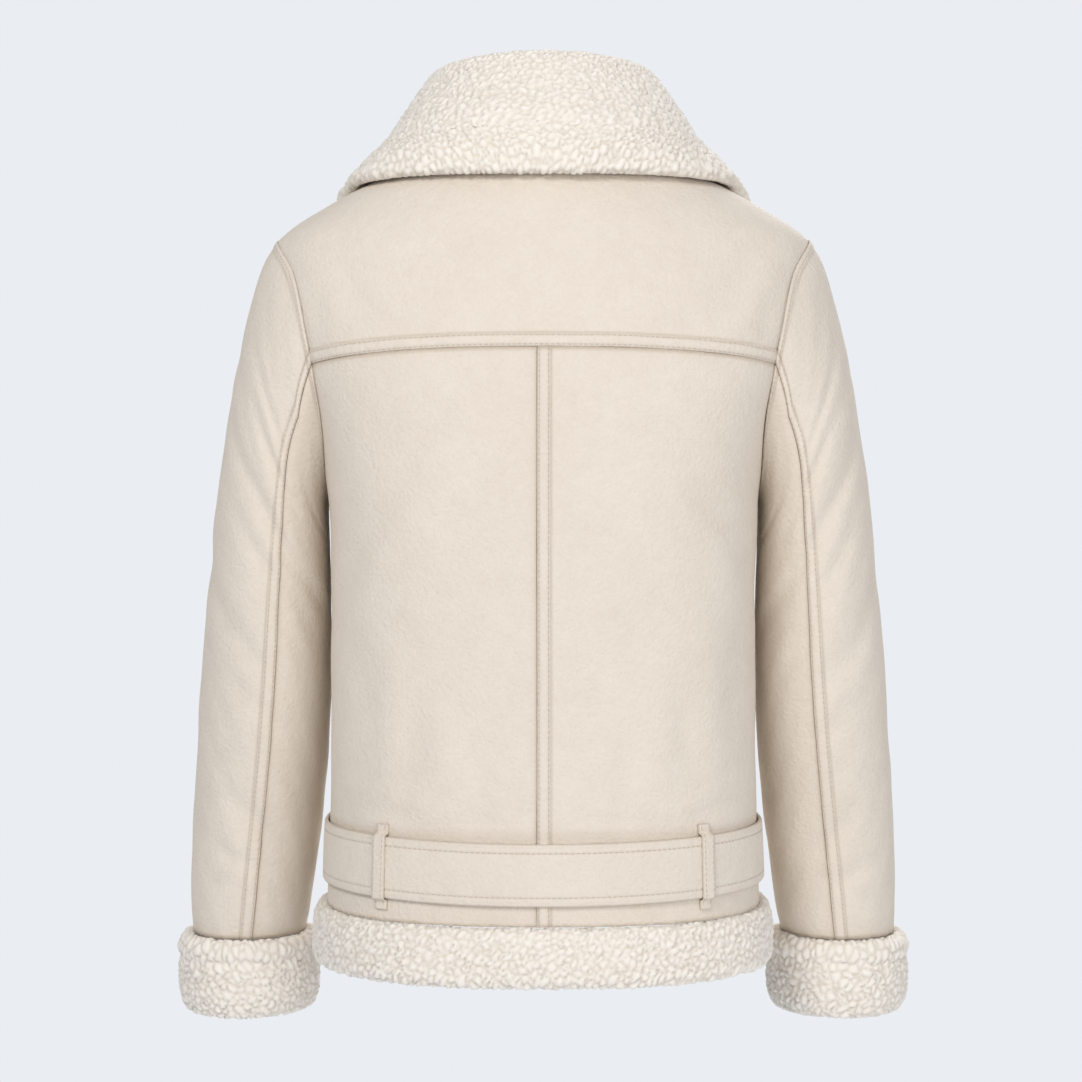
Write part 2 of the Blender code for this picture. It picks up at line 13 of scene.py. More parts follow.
import bpy
import numpy as np
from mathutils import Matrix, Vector

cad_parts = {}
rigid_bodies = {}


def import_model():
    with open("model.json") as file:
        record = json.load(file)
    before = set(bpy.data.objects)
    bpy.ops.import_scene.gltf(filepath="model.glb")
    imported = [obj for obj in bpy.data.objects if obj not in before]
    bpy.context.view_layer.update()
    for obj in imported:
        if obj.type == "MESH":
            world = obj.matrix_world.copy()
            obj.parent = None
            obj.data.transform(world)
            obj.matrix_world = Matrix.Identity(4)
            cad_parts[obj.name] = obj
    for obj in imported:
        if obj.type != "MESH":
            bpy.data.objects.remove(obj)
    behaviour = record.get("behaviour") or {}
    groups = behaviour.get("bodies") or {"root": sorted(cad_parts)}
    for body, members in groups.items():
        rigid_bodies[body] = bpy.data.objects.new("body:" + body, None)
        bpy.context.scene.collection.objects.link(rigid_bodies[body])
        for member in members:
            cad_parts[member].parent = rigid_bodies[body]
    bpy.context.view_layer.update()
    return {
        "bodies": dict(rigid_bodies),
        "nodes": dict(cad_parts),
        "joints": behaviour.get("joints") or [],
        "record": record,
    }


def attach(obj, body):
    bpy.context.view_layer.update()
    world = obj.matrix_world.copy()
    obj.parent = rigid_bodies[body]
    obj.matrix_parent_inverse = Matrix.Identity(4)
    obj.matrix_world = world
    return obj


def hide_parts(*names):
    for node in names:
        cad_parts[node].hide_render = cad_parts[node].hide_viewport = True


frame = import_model()
LOG = logging.getLogger("jacket")

LEATHER = 0.003
LAP = 0.0012
NECK_DROP = 0.085
NECK_CURVE = 1.4
SHOULDER_TIP = -0.076
UNDERARM = -0.281
YOKE_CENTRE = -0.173
BODY_END = -0.6120
BACK_SEAM_ANGLE = 1.9
HEM_TOP = -0.6125
HEM_BOTTOM = -0.6575
CUFF_TOP = -0.6478
CUFF_BOTTOM = -0.7120
BELT_TOP = -0.5450
BELT_BOTTOM = -0.5920
BELT_DIP = 0.0045
BUCKLE_ANGLE = 184.0
ZIP_TOP = -NECK_DROP - 0.012
ZIP_BOTTOM = -0.648
LEAST_FLAT_SHARE = 0.31
ARM_BACK_STEPS = (0.0, 15.0, 30.0, 46.0, 61.0, 76.5, 92.0, 110.0, 127.0, 145.0, 162.0, 180.0)
ARM_FRONT_STEPS = (360.0, 344.0, 328.0, 312.0, 297.0, 281.0, 266.0, 250.0, 232.0, 215.0, 197.0, 180.0)

Grid = np.ndarray
Faces = list[tuple[int, ...]]
Frame = tuple[Grid, Grid, Grid, Grid]


def smooth_step(value: Grid) -> Grid:
    """Return a soft ramp from 0 to 1.

    Args:
        value: numbers, clipped to the range 0 to 1.

    Returns:
        The ramp at each number.
    """
    share = np.clip(value, 0.0, 1.0)
    return share * share * (3.0 - 2.0 * share)


def near(distance: Grid, reach: float) -> Grid:
    """Return 1 at a line that fades to 0 at a distance from it."""
    return np.exp(-(distance / reach) ** 2)


def turned(angle: Grid) -> tuple[Grid, Grid]:
    """Return the sine and the cosine of angles in degrees."""
    turn = np.radians(angle)
    return np.sin(turn), np.cos(turn)


def unit(vectors: Grid) -> Grid:
    """Return vectors brought to length 1."""
    return vectors / np.maximum(np.linalg.norm(vectors, axis=-1, keepdims=True), 1e-9)


def cubic(share: Grid, first: Grid, last: Grid, first_slope: Grid, last_slope: Grid) -> Grid:
    """Return a smooth curve between two values with a slope at each."""
    value = (2 * share**3 - 3 * share**2 + 1) * first + (share**3 - 2 * share**2 + share) * first_slope
    return value + (3 * share**2 - 2 * share**3) * last + (share**3 - share**2) * last_slope


def read_line(places: Grid, keys: Grid, line: Grid) -> Grid:
    """Return the three columns of a line at places among its rising keys."""
    return np.stack([np.interp(places, keys, line[:, k]) for k in range(3)], axis=-1)


def table_at(table: Grid, place: Grid) -> Grid:
    """Read a table as smooth curves of its first column.

    Args:
        table: rows of numbers, whose first column is the key.
        place: keys to read at.

    Returns:
        The other columns, stacked on a last axis.
    """
    rows = table[np.argsort(table[:, 0])]
    keys = rows[:, 0]
    slopes = np.gradient(rows, keys, axis=0)
    place = np.asarray(place, dtype=float)
    i = np.clip(np.searchsorted(keys, place) - 1, 0, len(keys) - 2)
    gap = (keys[i + 1] - keys[i])[..., None]
    share = (place - keys[i])[..., None] / gap
    return cubic(share, rows[i], rows[i + 1], gap * slopes[i], gap * slopes[i + 1])[..., 1:]


def grid_normals(points: Grid) -> Grid:
    """Return unit normals of a grid of points, from its rows and columns."""
    return unit(np.cross(np.gradient(points, axis=1), np.gradient(points, axis=0)))


def even_places(length: float, step: float, fine: tuple[float, ...] = (), reach: float = 0.014,
                fine_step: float = 0.0009) -> Grid:
    """Return shares of a length, set closer together near the places that need it.

    Args:
        length: the whole length in metres.
        step: the usual spacing.
        fine: places along the length that get the closer spacing.
        reach: how far from such a place it goes.
        fine_step: the closer spacing.

    Returns:
        Rising shares from 0 to 1.
    """
    places = [0.0]
    while places[-1] < length - fine_step * 0.5:
        here = places[-1]
        away = min((abs(here - spot) for spot in fine), default=1.0)
        blend = float(smooth_step(np.array((away - reach) / (step * 4))))
        places.append(here + fine_step + (step - fine_step) * blend)
    places[-1] = length
    return np.array(places) / length


@dataclass(frozen=True)
class TrunkForm:
    """The trunk's outer face, a stack of squared ovals.

    Columns of the table: height, half width, back depth, front depth, squareness.
    """

    sections: tuple[tuple[float, ...], ...] = (
        (0.010, 0.0780, 0.0640, 0.060, 2.00),
        (-0.005, 0.0920, 0.0740, 0.068, 2.00),
        (-0.030, 0.1410, 0.0900, 0.083, 2.00),
        (-0.050, 0.1790, 0.1020, 0.096, 2.05),
        (-0.076, 0.2160, 0.1140, 0.108, 2.15),
        (-0.110, 0.2205, 0.1260, 0.119, 2.30),
        (-0.150, 0.2150, 0.1355, 0.128, 2.50),
        (-0.185, 0.2025, 0.1405, 0.135, 2.60),
        (-0.222, 0.1870, 0.1435, 0.140, 2.70),
        (-0.281, 0.1745, 0.1450, 0.144, 2.70),
        (-0.350, 0.1725, 0.1440, 0.145, 2.60),
        (-0.450, 0.1720, 0.1420, 0.143, 2.50),
        (-0.550, 0.1735, 0.1430, 0.144, 2.40),
        (-0.620, 0.1760, 0.1450, 0.146, 2.40),
        (-0.670, 0.1780, 0.1470, 0.148, 2.40),
    )
    arm_back_angle: float = 24.5
    arm_front_angle: float = 22.0
    zip_bottom_angle: float = 6.0
    zip_top_angle: float = 20.0
    zip_half_angle: float = 1.7
    neck_side: float = 0.005

    def point(self, angle: Grid, height: Grid) -> Grid:
        """Return points of the outer face.

        Args:
            angle: degrees from the back's middle, towards the wearer's left.
            height: heights.

        Returns:
            Points on a last axis of 3.
        """
        angle, height = np.broadcast_arrays(np.asarray(angle, float), np.asarray(height, float))
        half, back, front, square = np.moveaxis(table_at(np.array(self.sections), height), -1, 0)
        s, c = turned(angle)
        depth = np.where(c >= 0, back, front)
        radius = ((np.abs(s) / half) ** square + (np.abs(c) / depth) ** square) ** (-1 / square)
        return np.stack((radius * s, radius * c, height), axis=-1)

    def normal(self, angle: Grid, height: Grid) -> Grid:
        """Return outward normals at angles and heights."""
        angle, height = np.asarray(angle), np.asarray(height)
        across = self.point(angle + 0.5, height) - self.point(angle - 0.5, height)
        down = self.point(angle, height - 0.002) - self.point(angle, height + 0.002)
        return unit(np.cross(across, down))

    def lifted(self, angle: Grid, height: Grid, out: Grid) -> Grid:
        """Return points moved out from the face by a distance."""
        return self.point(angle, height) + self.normal(angle, height) * np.asarray(out)[..., None]

    def armhole(self, phi: Grid) -> tuple[Grid, Grid]:
        """Return the angle and height of the armhole at angles round it."""
        s, c = turned(phi)
        reach = np.where(s >= 0, self.arm_back_angle, self.arm_front_angle)
        return 90.0 - reach * s, (SHOULDER_TIP + UNDERARM) / 2 + (SHOULDER_TIP - UNDERARM) / 2 * c

    def neck_height(self, angle: Grid) -> Grid:
        """Return the height of the neck seam at angles from the back's middle."""
        turn = np.abs(np.asarray(angle, float))
        share = (180 - np.minimum(turn, 360 - turn)) / 90
        front = -NECK_DROP + (NECK_DROP - self.neck_side) * np.maximum(share, 0) ** NECK_CURVE
        return np.where(turn <= 90, -self.neck_side * (turn / 90) ** 3, front)

    def zip_angle(self, height: Grid) -> Grid:
        """Return the angle of the zip's line at heights."""
        share = (np.asarray(height) - HEM_BOTTOM) / (-NECK_DROP - HEM_BOTTOM)
        return 180.0 - self.zip_bottom_angle - (self.zip_top_angle - self.zip_bottom_angle) * share


@dataclass(frozen=True)
class SleeveForm:
    """A sleeve's outer face, a run of slanted rings from the armhole to the cuff.

    Columns of the table: outer x, outer z, inner x, inner z, centre y, half depth.
    """

    trunk: TrunkForm
    side: int
    rings: tuple[tuple[float, ...], ...] = (
        (0.2160, -0.0760, 0.1745, -0.2810, -0.002, 0.078),
        (0.2265, -0.0920, 0.1768, -0.2940, -0.002, 0.077),
        (0.2380, -0.1250, 0.1766, -0.3040, -0.003, 0.075),
        (0.2480, -0.1650, 0.1763, -0.3150, -0.004, 0.073),
        (0.2565, -0.2100, 0.1758, -0.3300, -0.006, 0.071),
        (0.2660, -0.2710, 0.1752, -0.3560, -0.010, 0.069),
        (0.2740, -0.3360, 0.1752, -0.3960, -0.016, 0.067),
        (0.2810, -0.4020, 0.1762, -0.4470, -0.025, 0.066),
        (0.2870, -0.4670, 0.1800, -0.5020, -0.035, 0.064),
        (0.2920, -0.5330, 0.1865, -0.5580, -0.045, 0.061),
        (0.2955, -0.5900, 0.1930, -0.6050, -0.051, 0.058),
        (0.2970, -0.6475, 0.1995, -0.6475, -0.056, 0.056),
    )
    length: float = 0.60
    blend: float = 0.3

    def back_seam(self, share: Grid) -> Grid:
        """Return the angle of the back seam along the sleeve."""
        return np.interp(share, (0, 0.12, 0.5, 1), (92.0, 104.0, 106.0, 101.0))

    def front_seam(self, share: Grid) -> Grid:
        """Return the angle of the front seam along the sleeve."""
        return np.interp(share, (0, 1), (250.0, 262.0))

    def ring(self, columns: Grid, phi: Grid) -> tuple[Grid, Grid]:
        """Return points and unit normals on rings given by the table's columns."""
        ox, oz, ix, iz, cy, deep = np.moveaxis(columns, -1, 0)
        s, c = turned(phi)
        rx, rz = (ox - ix) / 2, (oz - iz) / 2
        square = rx**2 + rz**2
        spot = np.stack(((ox + ix) / 2 + rx * c, cy + deep * s, (oz + iz) / 2 + rz * c), axis=-1)
        return spot, unit(np.stack((rx / square * c, s / deep, rz / square * c), axis=-1))

    def point(self, share: Grid, phi: Grid) -> tuple[Grid, Grid]:
        """Return points of the sleeve and normals within its rings.

        Args:
            share: place along the sleeve, 0 at the armhole and 1 at the cuff.
            phi: degrees round it, 0 on the outside and 90 at the back.

        Returns:
            Points and unit normals.
        """
        share, phi = np.broadcast_arrays(np.asarray(share, float), np.asarray(phi, float))
        table = np.column_stack((np.linspace(0, 1, len(self.rings)), np.array(self.rings)))
        spot, normal = self.ring(table_at(table, share), phi)
        start, _ = self.ring(np.array(self.rings[0]), phi)
        fade = np.maximum(0.0, 1 - share / self.blend)[..., None] ** 2
        spot = spot + (self.trunk.point(*self.trunk.armhole(phi)) - start) * fade
        flip = np.array((self.side, 1, 1))
        return spot * flip, normal * flip


@dataclass(frozen=True)
class CollarForm:
    """The collar's middle surface, from the neck seam over the roll to its free edge.

    Columns of the table: half width, back depth, front depth, height at the
    back, at the side and at the front, and how much wider it is in front.
    """

    trunk: TrunkForm
    rings: tuple[tuple[float, ...], ...] = (
        (0.0860, 0.0690, 0.080, 0.022, 0.018, -0.050, 0.0),
        (0.0780, 0.0610, 0.082, 0.048, 0.044, -0.030, 0.0),
        (0.0800, 0.0620, 0.088, 0.061, 0.057, -0.018, 0.0),
        (0.0890, 0.0700, 0.096, 0.058, 0.054, -0.020, 0.0),
        (0.1080, 0.0850, 0.112, 0.032, 0.028, -0.066, 0.0),
        (0.1250, 0.1000, 0.140, 0.004, 0.002, -0.092, 0.008),
    )
    edge_back: float = -0.040
    edge_side: float = -0.038
    edge_front: float = -0.135
    end_angle: float = 157.0
    thick: float = 0.010
    band_start: float = 0.87
    neck_in: float = 0.002
    neck_up: float = 0.0008
    clear: float = 0.0015

    def point(self, angle: Grid, share: Grid) -> Grid:
        """Return points of the collar's middle surface.

        Args:
            angle: degrees from the back's middle.
            share: place on the profile, 0 at the neck seam and 1 at the free edge.

        Returns:
            Points on a last axis of 3.
        """
        angle, share = np.broadcast_arrays(np.asarray(angle, float), np.asarray(share, float))
        s, c = turned(angle)
        inwards = np.stack((-s * self.neck_in, -c * self.neck_in, np.full_like(s, self.neck_up)), axis=-1)
        rows = [self.trunk.point(angle, self.trunk.neck_height(angle)) + inwards]
        for half, back, front, z_back, z_side, z_front, flare in self.rings:
            depth = np.where(c >= 0, back, front)
            half = half + flare * np.minimum(0.0, c) ** 2
            z = z_side + (np.where(c >= 0, z_back, z_front) - z_side) * c * c
            rows.append(np.stack((half * s, depth * c, z), axis=-1))
        level = np.where(c >= 0, self.edge_back, self.edge_front)
        power = np.where(c >= 0, 3.0, 1.2)
        level = self.edge_side + (level - self.edge_side) * np.abs(c) ** power
        rows.append(self.trunk.lifted(angle, level, np.full_like(level, self.thick / 2 + self.clear)))
        rows = np.stack(rows)
        slopes = np.gradient(rows, axis=0)
        run = share * (len(rows) - 1)
        i = np.clip(run.astype(int), 0, len(rows) - 2)
        index = tuple(np.indices(share.shape))
        low, high = (i, *index), (i + 1, *index)
        return cubic((run - i)[..., None], rows[low], rows[high], slopes[low], slopes[high])


class Sock:
    """A shader socket with arithmetic, so that a pattern reads as an expression."""

    def __init__(self, tree: bpy.types.NodeTree, link: bpy.types.NodeSocket) -> None:
        """Wrap a socket of a node tree."""
        self.tree = tree
        self.link = link

    def _math(self, kind: str, *values: "Sock | float") -> "Sock":
        """Return the result of a Math node on the values."""
        node = self.tree.nodes.new("ShaderNodeMath")
        node.operation = kind
        for slot, value in zip(node.inputs, values):
            plug(self.tree, slot, value)
        return Sock(self.tree, node.outputs[0])

    def __add__(self, other: "Sock | float") -> "Sock":
        """Return the sum."""
        return self._math("ADD", self, other)

    def __radd__(self, other: float) -> "Sock":
        """Return the sum."""
        return self._math("ADD", other, self)

    def __sub__(self, other: "Sock | float") -> "Sock":
        """Return the difference."""
        return self._math("SUBTRACT", self, other)

    def __rsub__(self, other: float) -> "Sock":
        """Return the difference from a number."""
        return self._math("SUBTRACT", other, self)

    def __mul__(self, other: "Sock | float") -> "Sock":
        """Return the product."""
        return self._math("MULTIPLY", self, other)

    def __pow__(self, other: float) -> "Sock":
        """Return a power of the value."""
        return self._math("POWER", self, other)

    def clipped(self) -> "Sock":
        """Return the value kept between 0 and 1."""
        return self._math("MINIMUM", self._math("MAXIMUM", self, 0.0), 1.0)


def plug(tree: bpy.types.NodeTree, slot: bpy.types.NodeSocket, value: object) -> None:
    """Link a Sock to a node's input, or set the input to a number, a colour or a vector."""
    if isinstance(value, Sock):
        tree.links.new(value.link, slot)
    elif slot.type == "RGBA":
        slot.default_value = (*value[:3], 1.0)
    else:
        slot.default_value = value


class Shader:
    """A material under construction, with one method that adds any node."""

    def __init__(self, name: str) -> None:
        """Start a material with a Principled BSDF."""
        self.material = bpy.data.materials.new(name)
        self.material.use_nodes = True
        self.tree = self.material.node_tree
        self.surface = self.tree.nodes["Principled BSDF"]

    def node(self, kind: str, settings: dict[str, object] | None = None, out: int = 0,
             **values: object) -> Sock:
        """Add a node and return one of its outputs.

        Args:
            kind: the node's type name.
            settings: attributes to set first.
            out: index of the output to return.
            values: values or links by input name, with _ for a space.

        Returns:
            The output as a Sock.
        """
        node = self.tree.nodes.new(kind)
        for key, value in (settings or {}).items():
            setattr(node, key, value)
        for key, value in values.items():
            plug(self.tree, node.inputs[key.replace("_", " ")], value)
        return Sock(self.tree, node.outputs[out])

    def place(self) -> Sock:
        """Return the object coordinates."""
        return self.node("ShaderNodeTexCoord", out=3)

    def mark(self, name: str) -> Sock:
        """Return a number that the mesh keeps at its points."""
        return self.node("ShaderNodeAttribute", {"attribute_name": name}, out=2)

    def noise(self, scale: float, detail: float = 3.0, rough: float = 0.5,
              stretch: tuple[float, ...] = (1, 1, 1)) -> Sock:
        """Return a noise pattern on the object coordinates."""
        spot = self.node("ShaderNodeMapping", Vector=self.place(), Scale=stretch)
        return self.node("ShaderNodeTexNoise", Vector=spot, Scale=scale, Detail=detail, Roughness=rough)

    def cells(self, scale: float) -> Sock:
        """Return a pattern of soft round cells on the object coordinates."""
        return self.node("ShaderNodeTexVoronoi", {"feature": "SMOOTH_F1"}, Vector=self.place(), Scale=scale)

    def mix(self, share: Sock, low: object, high: object) -> Sock:
        """Return a mix of two colours."""
        node = self.tree.nodes.new("ShaderNodeMix")
        node.data_type = "RGBA"
        for slot, value in ((0, share), (6, low), (7, high)):
            plug(self.tree, node.inputs[slot], value)
        return Sock(self.tree, node.outputs[2])

    def feed(self, **values: object) -> None:
        """Set or link inputs of the Principled BSDF, by name with _ for a space."""
        for key, value in values.items():
            plug(self.tree, self.surface.inputs[key.replace("_", " ")], value)

    def bump(self, height: Sock, strength: float, distance: float, below: Sock | None = None) -> Sock:
        """Return a bump of a height, on another bump where one is given."""
        on = {} if below is None else {"Normal": below}
        return self.node("ShaderNodeBump", Height=height, Strength=strength, Distance=distance, **on)


@dataclass(frozen=True)
class SuedeFinish:
    """Pale faux suede with a fine nap and cloudy colour, and painted shade that darkens it along seams,
    edges and beside other parts.
    """

    name: str = "suede"
    light: tuple[float, float, float] = (0.800, 0.715, 0.615)
    # dark: the colour that painted shade runs to; the cloudy tone reaches halfway to it.
    dark: tuple[float, float, float] = (0.520, 0.425, 0.325)
    nap: float = 0.9

    def build(self) -> bpy.types.Material:
        """Return the material."""
        shader = Shader(self.name)
        cloud = shader.noise(11.0, 5.0, 0.6)
        blotch = shader.noise(70.0, 4.0, 0.65)
        fleck = shader.noise(300.0, 4.0, 0.7)
        nap = shader.noise(1100.0, 3.0, 0.65)
        pebble = shader.cells(330.0)
        shade = shader.mark("shade")
        tone = (cloud * 0.55 + blotch * 0.50 + fleck * 0.55 + nap * 0.20 - 0.60).clipped()
        between = tuple((a + b) / 2 for a, b in zip(self.light, self.dark))
        colour = shader.mix(tone, self.light, between)
        # Painted shade: the mesh's shade mark darkens the suede towards dark.
        colour = shader.mix((shade * 0.9).clipped(), colour, self.dark)
        low = shader.bump(blotch, 0.32, 0.0024)
        mid = shader.bump(fleck * 0.9 + pebble * 0.30, 0.75 * self.nap, 0.0016, low)
        fine = shader.bump(nap, 0.45 * self.nap, 0.0004, mid)
        shader.feed(Base_Color=colour, Roughness=0.70 + fleck * 0.16, Normal=fine, Specular_IOR_Level=0.28,
                    Sheen_Weight=0.15, Sheen_Roughness=0.45, Sheen_Tint=(1.0, 0.97, 0.92))
        return shader.material


@dataclass(frozen=True)
class PileFinish:
    """Cream curled pile, with painted shade that darkens the hollows between its locks."""

    name: str = "pile"
    tip: tuple[float, float, float] = (0.910, 0.855, 0.775)
    # root: the colour of the painted shade deepest in the hollows between the locks.
    root: tuple[float, float, float] = (0.680, 0.590, 0.485)
    cloudy: tuple[float, float, float] = (0.860, 0.795, 0.705)

    def build(self) -> bpy.types.Material:
        """Return the material."""
        shader = Shader(self.name)
        height = shader.mark("curl")
        cloud = shader.noise(38.0, 3.0, 0.5)
        fibre = shader.noise(1300.0, 4.0, 0.7)
        strand = shader.noise(520.0, 3.0, 0.6, (1.0, 1.0, 0.4))
        # Painted shade: the lower the curl height, the darker the pile, towards root.
        deep = (1.0 - height) ** 1.6
        colour = shader.mix((deep * 0.9).clipped(), self.tip, self.root)
        colour = shader.mix((cloud * 0.5 - 0.05).clipped(), colour, self.cloudy)
        low = shader.bump(strand, 0.45, 0.0007)
        fine = shader.bump(fibre, 0.50, 0.0004, low)
        shader.feed(Base_Color=colour, Roughness=0.86 + fibre * 0.12, Normal=fine, Specular_IOR_Level=0.15,
                    Sheen_Weight=0.5, Sheen_Roughness=0.5, Sheen_Tint=(1.0, 0.97, 0.93))
        return shader.material


@dataclass(frozen=True)
class MetalFinish:
    """Dark nickel with fine scratches and paler smears."""

    name: str = "nickel"
    colour: tuple[float, float, float] = (0.36, 0.345, 0.325)

    def build(self) -> bpy.types.Material:
        """Return the material."""
        shader = Shader(self.name)
        scratch = shader.noise(1800.0, 3.0, 0.6, (1.0, 1.0, 0.08))
        smear = shader.noise(160.0, 3.0, 0.5)
        colour = shader.mix(smear, self.colour, tuple(min(1.0, c * 1.35) for c in self.colour))
        shader.feed(Base_Color=colour, Metallic=1.0, Roughness=0.22 + scratch * 0.14 + smear * 0.08,
                    Normal=shader.bump(scratch, 0.08, 0.0001))
        return shader.material


@dataclass(frozen=True)
class ThreadFinish:
    """Twisted sewing thread or woven tape, a little darker than the suede."""

    name: str = "thread"
    colour: tuple[float, float, float] = (0.62, 0.53, 0.43)
    weave: float = 2600.0

    def build(self) -> bpy.types.Material:
        """Return the material."""
        shader = Shader(self.name)
        twist = shader.noise(self.weave, 2.0, 0.5)
        colour = shader.mix(twist, tuple(c * 0.82 for c in self.colour), self.colour)
        shader.feed(Base_Color=colour, Roughness=0.62 + twist * 0.2, Normal=shader.bump(twist, 0.5, 0.0002),
                    Specular_IOR_Level=0.3)
        return shader.material


@dataclass(frozen=True)
class BackingFinish:
    """The panels' inner face, a short even pile, with painted shade between its tufts."""

    name: str = "backing"
    light: tuple[float, float, float] = (0.80, 0.74, 0.66)
    dark: tuple[float, float, float] = (0.56, 0.48, 0.39)

    def build(self) -> bpy.types.Material:
        """Return the material."""
        shader = Shader(self.name)
        tuft = shader.cells(240.0)
        fibre = shader.noise(900.0, 3.0, 0.6)
        # Painted shade between the tufts, where the bump sinks, with random fibre tone.
        colour = shader.mix((tuft * 1.1 + fibre * 0.2 - 0.1).clipped(), self.light, self.dark)
        shader.feed(Base_Color=colour, Roughness=0.88 + fibre * 0.1, Specular_IOR_Level=0.15,
                    Normal=shader.bump(1.0 - tuft, 0.8, 0.002), Sheen_Weight=0.3)
        return shader.material


@dataclass(frozen=True)
class Finishes:
    """Every finish of the jacket, built once."""

    suede: bpy.types.Material
    pile: bpy.types.Material
    nickel: bpy.types.Material
    thread: bpy.types.Material
    tape: bpy.types.Material
    backing: bpy.types.Material

    @classmethod
    def build(cls) -> "Finishes":
        """Return the set of materials."""
        return cls(
            suede=SuedeFinish().build(),
            pile=PileFinish().build(),
            nickel=MetalFinish().build(),
            thread=ThreadFinish().build(),
            tape=ThreadFinish("zip_weave", (0.66, 0.57, 0.47), 1500.0).build(),
            backing=BackingFinish().build(),
        )


@dataclass(frozen=True)
class Crease:
    """A soft trough, or a ridge where its depth is negative."""

    across: float
    along: float
    depth: float
    length: float
    tilt: float
    width: float = 0.012

    def draw(self, x: Grid, y: Grid) -> Grid:
        """Return how far the cloth is drawn in.

        Args:
            x: metres across the piece.
            y: metres along the piece.

        Returns:
            The depth at each place.
        """
        turn = math.radians(self.tilt)
        dx, dy = x - self.across, y - self.along
        u = dx * math.cos(turn) + dy * math.sin(turn)
        v = dy * math.cos(turn) - dx * math.sin(turn)
        v = v + 0.10 * u * u / max(self.length, 0.01)
        banks = near(np.abs(v) - 1.9 * self.width, self.width)
        return self.depth * (near(v, self.width) - 0.35 * banks) * near(u, self.length * 0.6)


def drawn(creases: tuple[Crease, ...], x: Grid, y: Grid) -> Grid:
    """Return the summed depth of several creases."""
    total = np.zeros(np.broadcast(x, y).shape)
    for crease in creases:
        total += crease.draw(x, y)
    return total


def undulation(x: Grid, y: Grid, size: float, seed: float) -> Grid:
    """Return a slow uneven swell of a panel, from a few crossing waves.

    Args:
        x: metres across.
        y: metres along.
        size: height of the swell.
        seed: shifts the waves.

    Returns:
        The swell at each place.
    """
    slow = np.sin(x * 47 + seed) * np.sin(y * 31 + seed * 1.7)
    slanted = 0.6 * np.sin(x * 83 + y * 52 + seed * 2.3) + 0.4 * np.sin(x * 120 - y * 95 + seed * 3.1)
    return (slow + slanted) * size * 0.5


def link_mesh(name: str, points: Grid, faces: Faces, materials: tuple[bpy.types.Material, ...],
              slots: Grid | None = None, marks: dict[str, Grid] | None = None) -> bpy.types.Object:
    """Make an object of points and faces, turned to face outwards.

    Args:
        name: the object's name.
        points: vertex places.
        faces: corner indices.
        materials: the finishes.
        slots: material index of each face.
        marks: point attributes by name.

    Returns:
        The object, linked to the scene.
    """
    mesh = bpy.data.meshes.new(name)
    mesh.from_pydata(points.tolist(), [], faces)
    quads = np.array([face if len(face) == 4 else (*face, face[-1]) for face in faces if len(face) < 5])
    a, b, c, d = (points[quads[:, k]] for k in range(4))
    volume = np.einsum("ij,ij->i", a, np.cross(b, c)) + np.einsum("ij,ij->i", a, np.cross(c, d))
    if volume.sum() < 0:
        mesh.flip_normals()
    for material in materials:
        mesh.materials.append(material)
    if slots is not None:
        mesh.polygons.foreach_set("material_index", slots.astype(np.int32))
    for key, value in (marks or {}).items():
        attribute = mesh.attributes.new(key, "FLOAT", "POINT")
        attribute.data.foreach_set("value", value.astype(np.float32))
    mesh.shade_smooth()
    mesh.update()
    thing = bpy.data.objects.new(name, mesh)
    bpy.context.collection.objects.link(thing)
    return thing


def edit_active(size: tuple[float, float, float]) -> None:
    """Enter edit mode on the active object with all of it chosen, and scale it."""
    bpy.ops.object.mode_set(mode="EDIT")
    bpy.ops.mesh.select_all(action="SELECT")
    bpy.ops.transform.resize(value=size)


def taken_shape() -> tuple[Grid, Faces]:
    """Leave edit mode, and return the active object's points and faces in its place."""
    bpy.ops.object.mode_set(mode="OBJECT")
    seed = bpy.context.active_object
    points = np.array([v.co for v in seed.data.vertices])
    faces = [tuple(p.vertices) for p in seed.data.polygons]
    bpy.data.objects.remove(seed)
    return points, faces


def repeated(name: str, shape: Grid, faces: Faces, places: list[Frame],
             material: bpy.types.Material) -> bpy.types.Object:
    """Make one object of copies of a small shape.

    Args:
        name: the object's name.
        shape: the shape's points.
        faces: its faces.
        places: centre and three directions of each copy.
        material: the finish.

    Returns:
        The object, linked to the scene.
    """
    points = [centre + shape[:, :1] * a + shape[:, 1:2] * b + shape[:, 2:] * c for centre, a, b, c in places]
    sides = [tuple(k * len(shape) + i for i in face) for k in range(len(points)) for face in faces]
    return link_mesh(name, np.concatenate(points), sides, (material,))


def dress(piece: bpy.types.Object, node: str, body: str = "jacket") -> bpy.types.Object:
    """Let a piece ride on a body and stand for a node, whose solid is hidden."""
    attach(piece, body)
    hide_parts(node)
    return piece


